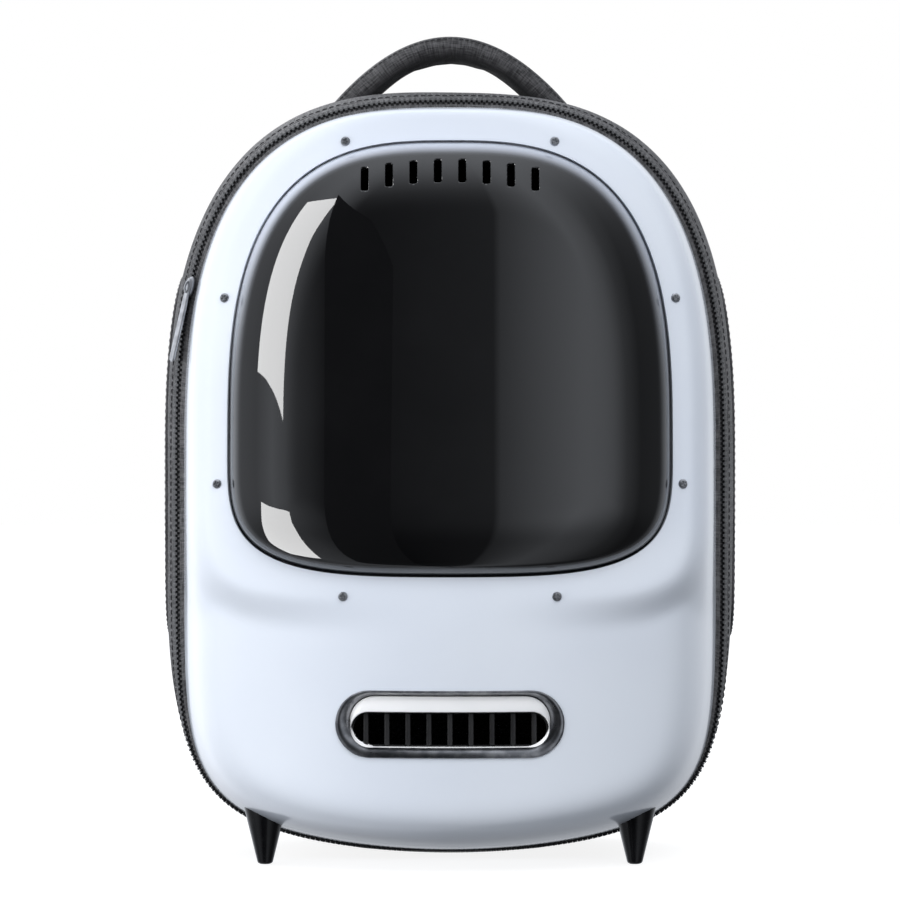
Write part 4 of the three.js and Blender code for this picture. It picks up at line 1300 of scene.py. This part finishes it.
def adjusterFrame(side):  # middle of the plate and its directions across, up and out
    line = strapLine(strap["adjusterPath"], side, 3)
    out, flat = stripNormals(line)
    along = np.cross(flat[1], out[1])
    return line[1], flat[1], along * np.sign(along[2]), out[1]


# The webbing comes up under the plate, through its lower slot, over the bar and down the upper slot
def threadedLine(side):
    middle, _, up, out = adjusterFrame(side)
    steps = np.array(strap["threading"], float)
    plate = middle + steps[:, :1] * up + steps[:, 1:] * out
    below = strapLine(strap["webbingPath"], side, strap["webSteps"])
    path = np.concatenate([plate, below[2:]])
    at = runLength(path)
    even = np.linspace(0, at[-1], strap["webSteps"] * 2)
    return np.stack([eased(at, path[:, k], even) for k in range(3)], axis=-1)


def makeAdjuster(side, word):
    middle, across, along, off = adjusterFrame(side)
    nx, ny = int(adjuster["wide"] / adjuster["grid"]) + 1, int(adjuster["high"] / adjuster["grid"]) + 1
    a, b = np.meshgrid(np.linspace(-1, 1, nx), np.linspace(-1, 1, ny))
    half = np.array([adjuster["wide"], adjuster["high"]]) / 2
    places = np.stack([a, b], axis=-1).reshape(-1, 2) * half
    past = np.maximum(np.abs(places) - (half - adjuster["corner"]), 0)
    far = np.linalg.norm(past, axis=1, keepdims=True)
    square = past.max(axis=1, keepdims=True)
    rounded = past * square / np.maximum(far, 1e-6)  # the square corner drawn onto a quarter circle
    places = np.sign(places) * (np.minimum(np.abs(places), half - adjuster["corner"]) + rounded)
    faces = gridQuads(ny, nx, around=False)
    for end in (1, -1):
        cut = lambda at: roundedBox(at, (0, end * adjuster["slotStep"] / 2),
                                    (adjuster["slotWide"] / 2, adjuster["slotHigh"] / 2), 1.2)
        places, faces, _ = openHole(places, faces, cut)
    points = middle + places[:, :1] * across + places[:, 1:] * along + off * adjuster["thick"] / 2
    if np.cross(across, along) @ off < 0:
        faces = faces[:, ::-1]
    piece = addPiece(f"strapAdjuster{word}", points, faces, finishes["black"],
                     [f"strap_adjuster_{word.lower()}"])
    thicken(piece, adjuster["thick"])
    soften(piece, 0.8, 3, 40)


def makeStrap(side, word):
    line = strapLine(strap["padPath"], side, strap["padSteps"])
    share = np.linspace(0, 1, strap["padSteps"])
    ends = np.clip(np.minimum(share, 1 - share) / strap["endRound"], 0, 1)
    scale = mixed(strap["endLeast"], 1, np.sqrt(1 - (1 - ends) ** 2))
    rings = sweep(line, (1, 0, 0), strap["padWide"], strap["padThick"], strap["padSquare"],
                  strap["padSides"], scale)
    out, flat = stripNormals(line)

    # the hem is sewn flat, so the pad is thinner along its seams
    middle = rings.mean(axis=1, keepdims=True)
    across = ((rings - middle) * flat[:, None, :]).sum(axis=-1)
    fromSeam = np.abs(np.abs(across) - (strap["padWide"] / 2 - strap["hem"]) * scale[:, None])
    height = ((rings - middle) * out[:, None, :]).sum(axis=-1)
    pinch = strap["seamPinch"] * height * np.exp(-(fromSeam / strap["seamReach"]) ** 2)
    rings = rings - pinch[..., None] * out[:, None, :]
    piece = addSweep(f"strapPad{word}", rings, finishes["back"], [f"strap_pad_{word.lower()}"])
    sewn = fromSeam < strap["sewn"]
    sewn[[0, 1, -2, -1]] = True
    stuff(piece, strap["soft"], sewn)
    inner = slice(5, -5)
    rows = []
    for edge in (-1, 1):
        at = line + flat * edge * (strap["padWide"] / 2 - strap["hem"])
        at = at + out * (strap["padThick"] / 2 * strap["seamLift"])
        rows.append(stitchPoints(at[inner], out[inner], thread))
    addStitches(f"strapStitches{word}", rows)
    makeAdjuster(side, word)
    web = threadedLine(side)
    rings = sweep(web, (1, 0, 0), strap["webWide"], strap["webThick"], 6, 52)
    addSweep(f"strapWebbing{word}", rings, finishes["webbing"], [f"strap_webbing_{word.lower()}"])
    patch = strapLine(strap["anchorPath"], side, 24)
    rings = sweep(patch, (1, 0, 0), strap["anchorWide"], strap["anchorThick"], 6, 52)
    addSweep(f"strapAnchor{word}", rings, finishes["bag"], [f"strap_anchor_{word.lower()}"])
    out, flat = stripNormals(patch)
    top = out * (strap["anchorThick"] / 2 + 0.05)
    edges = [patch + top + flat * end * (strap["anchorWide"] / 2 - 3) for end in (-1, 1)]
    across = [mixed(edges[0][k], edges[1][k], np.linspace(0, 1, 20)[:, None]) for k in (2, -3)]
    rows = [stitchPoints(at[2:-2], out[2:-2], thread) for at in edges]
    rows += [stitchPoints(at, np.tile(out[2], (20, 1)), thread) for at in across]
    addStitches(f"anchorStitches{word}", rows)


for side, word in ((1, "Right"), (-1, "Left")):
    makeStrap(side, word)
print("straps: 2")


# Zip slider and pull tab on the left side, built flat and laid on the tape: across it, off it and along it

slider = dict(
    height=334, depth=7.6, lift=0.9, bodyLong=12, bodyWide=8, bodyThick=3.4, tabLong=44, tabWide=7.5,
    tabThick=1.8, tabLift=1.9, bridge=4.6, wire=1.1, wireWide=2.2)


def sliderFrame():
    def spot(depth, z):
        swell = np.interp(depth, zipTable[:, 0], zipTable[:, 1])
        level = (z - shellOutline["middle"]) / (shellOutline["top"] + swell - shellOutline["middle"])
        half = (shellOutline["half"] + swell) * (1 - level ** softTopPower) ** (1 / softTopPower)
        return np.array([-half, depth, z])
    origin = spot(slider["depth"], slider["height"])
    along = unit(spot(slider["depth"], slider["height"] + 1) - origin)
    across = unit(spot(slider["depth"] + 1, slider["height"]) - origin)
    off = unit(np.cross(along, across))
    return origin, np.cross(off, along), off, along


def makeSlider():
    origin, side, off, along = sliderFrame()
    basis = np.stack([side, off, along])
    lay = lambda points: origin + np.asarray(points, float) @ basis
    length = np.linspace(-1, 1, 30)
    level = slider["lift"] + slider["bodyThick"] / 2 + 0 * length
    body = np.stack([0 * length, level, length * slider["bodyLong"] / 2], axis=-1)
    waist = np.sqrt(np.clip(1 - np.abs(length) ** 6, 0.02, 1)) * (0.88 + 0.12 * np.cos(length * np.pi))
    rings = sweep(body, (1, 0, 0), slider["bodyWide"], slider["bodyThick"], 4, 40, waist)
    addSweep("zipSlider", lay(rings), finishes["zipMetal"], ["zip_slider"])
    turn = np.linspace(0, np.pi, 24)
    arch = np.stack([0 * turn, slider["lift"] + slider["bodyThick"] - 0.3 + 1.9 * np.sin(turn),
                     -0.5 - slider["bridge"] * 0.8 * np.cos(turn)], axis=-1)
    rings = sweep(arch, (1, 0, 0), slider["wireWide"], slider["wire"], 2.4, 14)
    addSweep("zipBridge", lay(rings), finishes["zipMetal"])
    low = -slider["bodyLong"] / 2 - slider["tabLong"] + slider["bridge"]
    run = np.linspace(0, 1, 60)
    level = slider["lift"] + slider["tabLift"] + slider["tabThick"] / 2 + 0.9 * np.exp(-run * 9)
    tab = np.stack([0 * run, level, mixed(slider["bridge"], low, run)], axis=-1)
    ends = np.clip(np.minimum(run, 1 - run) / 0.06, 0, 1)
    width = (0.25 + 0.75 * np.sqrt(1 - (1 - ends) ** 2)) * (0.72 + 0.28 * smoothStep(run, 0.1, 0.35))
    rings = sweep(tab, (1, 0, 0), slider["tabWide"], slider["tabThick"], 5, 44, width)
    addSweep("zipPull", lay(rings), finishes["zipMetal"])


makeSlider()
print("zip: slider and pull tab")


# Floor, light and camera

studio = dict(
    white=1.0, top=1.15, topPower=3, below=0.5, floorSize=6.0, floorGlow=0.86, floorTone=0.22,
    flagX=-0.075, flagNear=-0.183, flagFar=-0.36, flagLow=-0.7, flagHigh=0.4, flagGlow=0.045,
    tint=colour(0.92, 0.96, 1.03),
    # brightness of the room round the object, from behind it by the left, the camera at 0 and the right
    around=[(-180, 0.55), (-150, 1.5), (-118, 0.9), (-98, 0.45), (-80, 0.45), (-58, 0.75), (-41, 0.55),
            (-28, 0.2), (-23, 0.025), (0, 0.09), (9, 0.12), (9.6, 0.3), (26, 0.85), (40, 0.66), (57, 0.3),
            (76, 0.12), (98, 0.12), (125, 0.6), (155, 0.9), (180, 0.55)])
# Azimuth and height of each light's middle, its distance, tilt down and roll, its size, brightness, whether
# gloss mirrors it, and what it lights
softboxes = [
    dict(name="stripeUpper", azimuth=-60, level=0.94, distance=1.25, tilt=0, roll=0, wide=0.74, high=0.93,
         glow=7.0, inGloss=True, on="window"),
    dict(name="stripeLower", azimuth=-65, level=-0.87, distance=1.25, tilt=0, roll=12, wide=0.74, high=2.0,
         glow=7.0, inGloss=True, on="window"),
    dict(name="key", azimuth=-77, level=0.12, distance=1.3, tilt=0, roll=0, wide=1.08, high=1.0,
         glow=2.9, inGloss=False, on="rest"),
    dict(name="fillHigh", azimuth=20, level=1.9, distance=1.8, tilt=42, roll=0, wide=1.6, high=1.2,
         glow=4.6, inGloss=False, on="all"),
    dict(name="fillLeft", azimuth=-35, level=0.35, distance=1.8, tilt=3, roll=0, wide=1.0, high=1.0,
         glow=3.2, inGloss=False, on="all"),
    dict(name="fillRight", azimuth=60, level=0.6, distance=1.8, tilt=10, roll=0, wide=1.0, high=1.0,
         glow=0.8, inGloss=False, on="shell"),
    dict(name="rear", azimuth=188, level=1.3, distance=1.6, tilt=32, roll=0, wide=1.0, high=1.0,
         glow=4.5, inGloss=False, on="all"),
]
camera = dict(target=(0, jointY * mm, 0.239), distance=3.0, elevation=1.0, lens=205.5, sensor=36)


def addProp(name, corners, material):
    data = bpy.data.meshes.new(name)
    data.from_pydata(corners, [], [(0, 1, 2, 3)])
    data.materials.append(material)
    prop = bpy.data.objects.new(name, data)
    bpy.context.scene.collection.objects.link(prop)
    prop.visible_diffuse = False
    return prop


def makeFloor():
    size = studio["floorSize"]
    fixed = {"Roughness": 0.8, "Emission Strength": studio["floorGlow"], "Emission Color": colour(1, 1, 1)}
    material, shade, feed = startFinish("floorPaper", fixed)
    grain = shade.noise(shade.node("ShaderNodeTexCoord", output="Object"), 40.0, 3.0)
    tone = studio["floorTone"]
    feed("Base Color", grain.colours(grey(tone), grey(tone + 0.03)))
    corners = [(-size, -size, 0), (size, -size, 0), (size, size, 0), (-size, size, 0)]
    floor = addProp("studioFloor", corners, material)
    floor.visible_glossy = False  # the room below stands in for its bounce


# A card as dark as the room behind the camera stands edge on before the window, and keeps the lights on the
# left out of the gloss to its right
def makeFlag():
    fixed = {"Roughness": 1.0, "Specular IOR Level": 0.0, "Emission Color": studio["tint"],
             "Emission Strength": studio["flagGlow"]}
    material, shade, feed = startFinish("flagCloth", fixed)
    grain = shade.noise(shade.node("ShaderNodeTexCoord", output="Object"), 300.0)
    feed("Base Color", grain.colours(grey(0.002), grey(0.006)))
    x, far, low, high = (studio[key] for key in ("flagX", "flagFar", "flagLow", "flagHigh"))
    nearLow, nearHigh = (studio["flagNear"] + shell["windowLean"] * z for z in (low, high))
    corners = [(x, nearLow, low), (x, far, low), (x, far, high), (x, nearHigh, high)]
    flag = addProp("studioFlag", corners, material)
    flag.visible_camera = False
    flag.visible_shadow = False
    flag.visible_transmission = False


# A soft room set by azimuth and height: dark behind the camera, glowing to the left and in a panel to the
# right; the picture's ground is white
def makeRoom():
    world = bpy.data.worlds.new("studioRoom")
    bpy.context.scene.world = world
    world.use_nodes = True
    tree = world.node_tree
    tree.nodes.clear()
    shade = Shade(tree)
    x, y, z = shade.node("ShaderNodeTexCoord", output="Generated").parts()
    turn = shade.maths("ARCTAN2", x, 0 - y) * (0.5 / math.pi) + 0.5
    stops = [(azimuth / 360 + 0.5, level) for azimuth, level in studio["around"]]
    level = shade.node("ShaderNodeValToRGB", {"stops": stops}, {"Fac": turn})
    level = level * (studio["below"] + z.ramp(-0.6, 0.05) * (1 - studio["below"]))
    level = level + z.most(0.0) ** studio["topPower"] * (studio["top"] - level)
    seen = shade.node("ShaderNodeLightPath", output="Is Camera Ray")
    soft = shade.node("ShaderNodeBackground", None, {"Color": studio["tint"], "Strength": level})
    ground = shade.node("ShaderNodeBackground", None, {"Color": colour(1, 1, 1), "Strength": studio["white"]})
    light = shade.node("ShaderNodeMixShader", None, {0: seen, 1: soft, 2: ground})
    output = tree.nodes.new("ShaderNodeOutputWorld")
    tree.links.new(light.socket, output.inputs["Surface"])


def makeLights():
    groups = {"all": None}
    for group, piece, state in (("window", "windowBubble", "INCLUDE"), ("rest", "windowBubble", "EXCLUDE"),
                                ("shell", "shellMoulding", "INCLUDE")):
        groups[group] = bpy.data.collections.new(f"{group}Light")
        groups[group].objects.link(bpy.data.objects[piece])
        groups[group].collection_objects[0].light_linking.link_state = state
    for box in softboxes:
        data = bpy.data.lights.new(box["name"], "AREA")
        data.shape = "RECTANGLE"
        data.size, data.size_y = box["wide"], box["high"]
        data.energy = box["glow"] * math.pi * box["wide"] * box["high"]
        light = bpy.data.objects.new(box["name"], data)
        turn = math.radians(box["azimuth"])
        away = np.array([math.sin(turn), -math.cos(turn), 0]) * box["distance"]
        light.location = (away[0], jointY * mm + away[1], box["level"])
        light.rotation_euler = (math.radians(90 - box["tilt"]), math.radians(box["roll"]), turn)
        light.visible_camera = False
        light.visible_glossy = box["inGloss"]
        light.light_linking.receiver_collection = groups[box["on"]]
        bpy.context.scene.collection.objects.link(light)


def makeCamera():
    data = bpy.data.cameras.new("photoCamera")
    data.lens = camera["lens"]
    data.sensor_width = camera["sensor"]
    eye = bpy.data.objects.new("photoCamera", data)
    tilt = math.radians(camera["elevation"])
    x, y, z = camera["target"]
    eye.location = (x, y - camera["distance"] * math.cos(tilt), z + camera["distance"] * math.sin(tilt))
    eye.rotation_euler = (math.pi / 2 - tilt, 0, 0)
    bpy.context.scene.collection.objects.link(eye)
    bpy.context.scene.camera = eye
    bpy.context.scene.view_settings.view_transform = "Standard"


makeFloor()
makeFlag()
makeRoom()
makeLights()
makeCamera()
print("studio: floor, room, lights and camera")
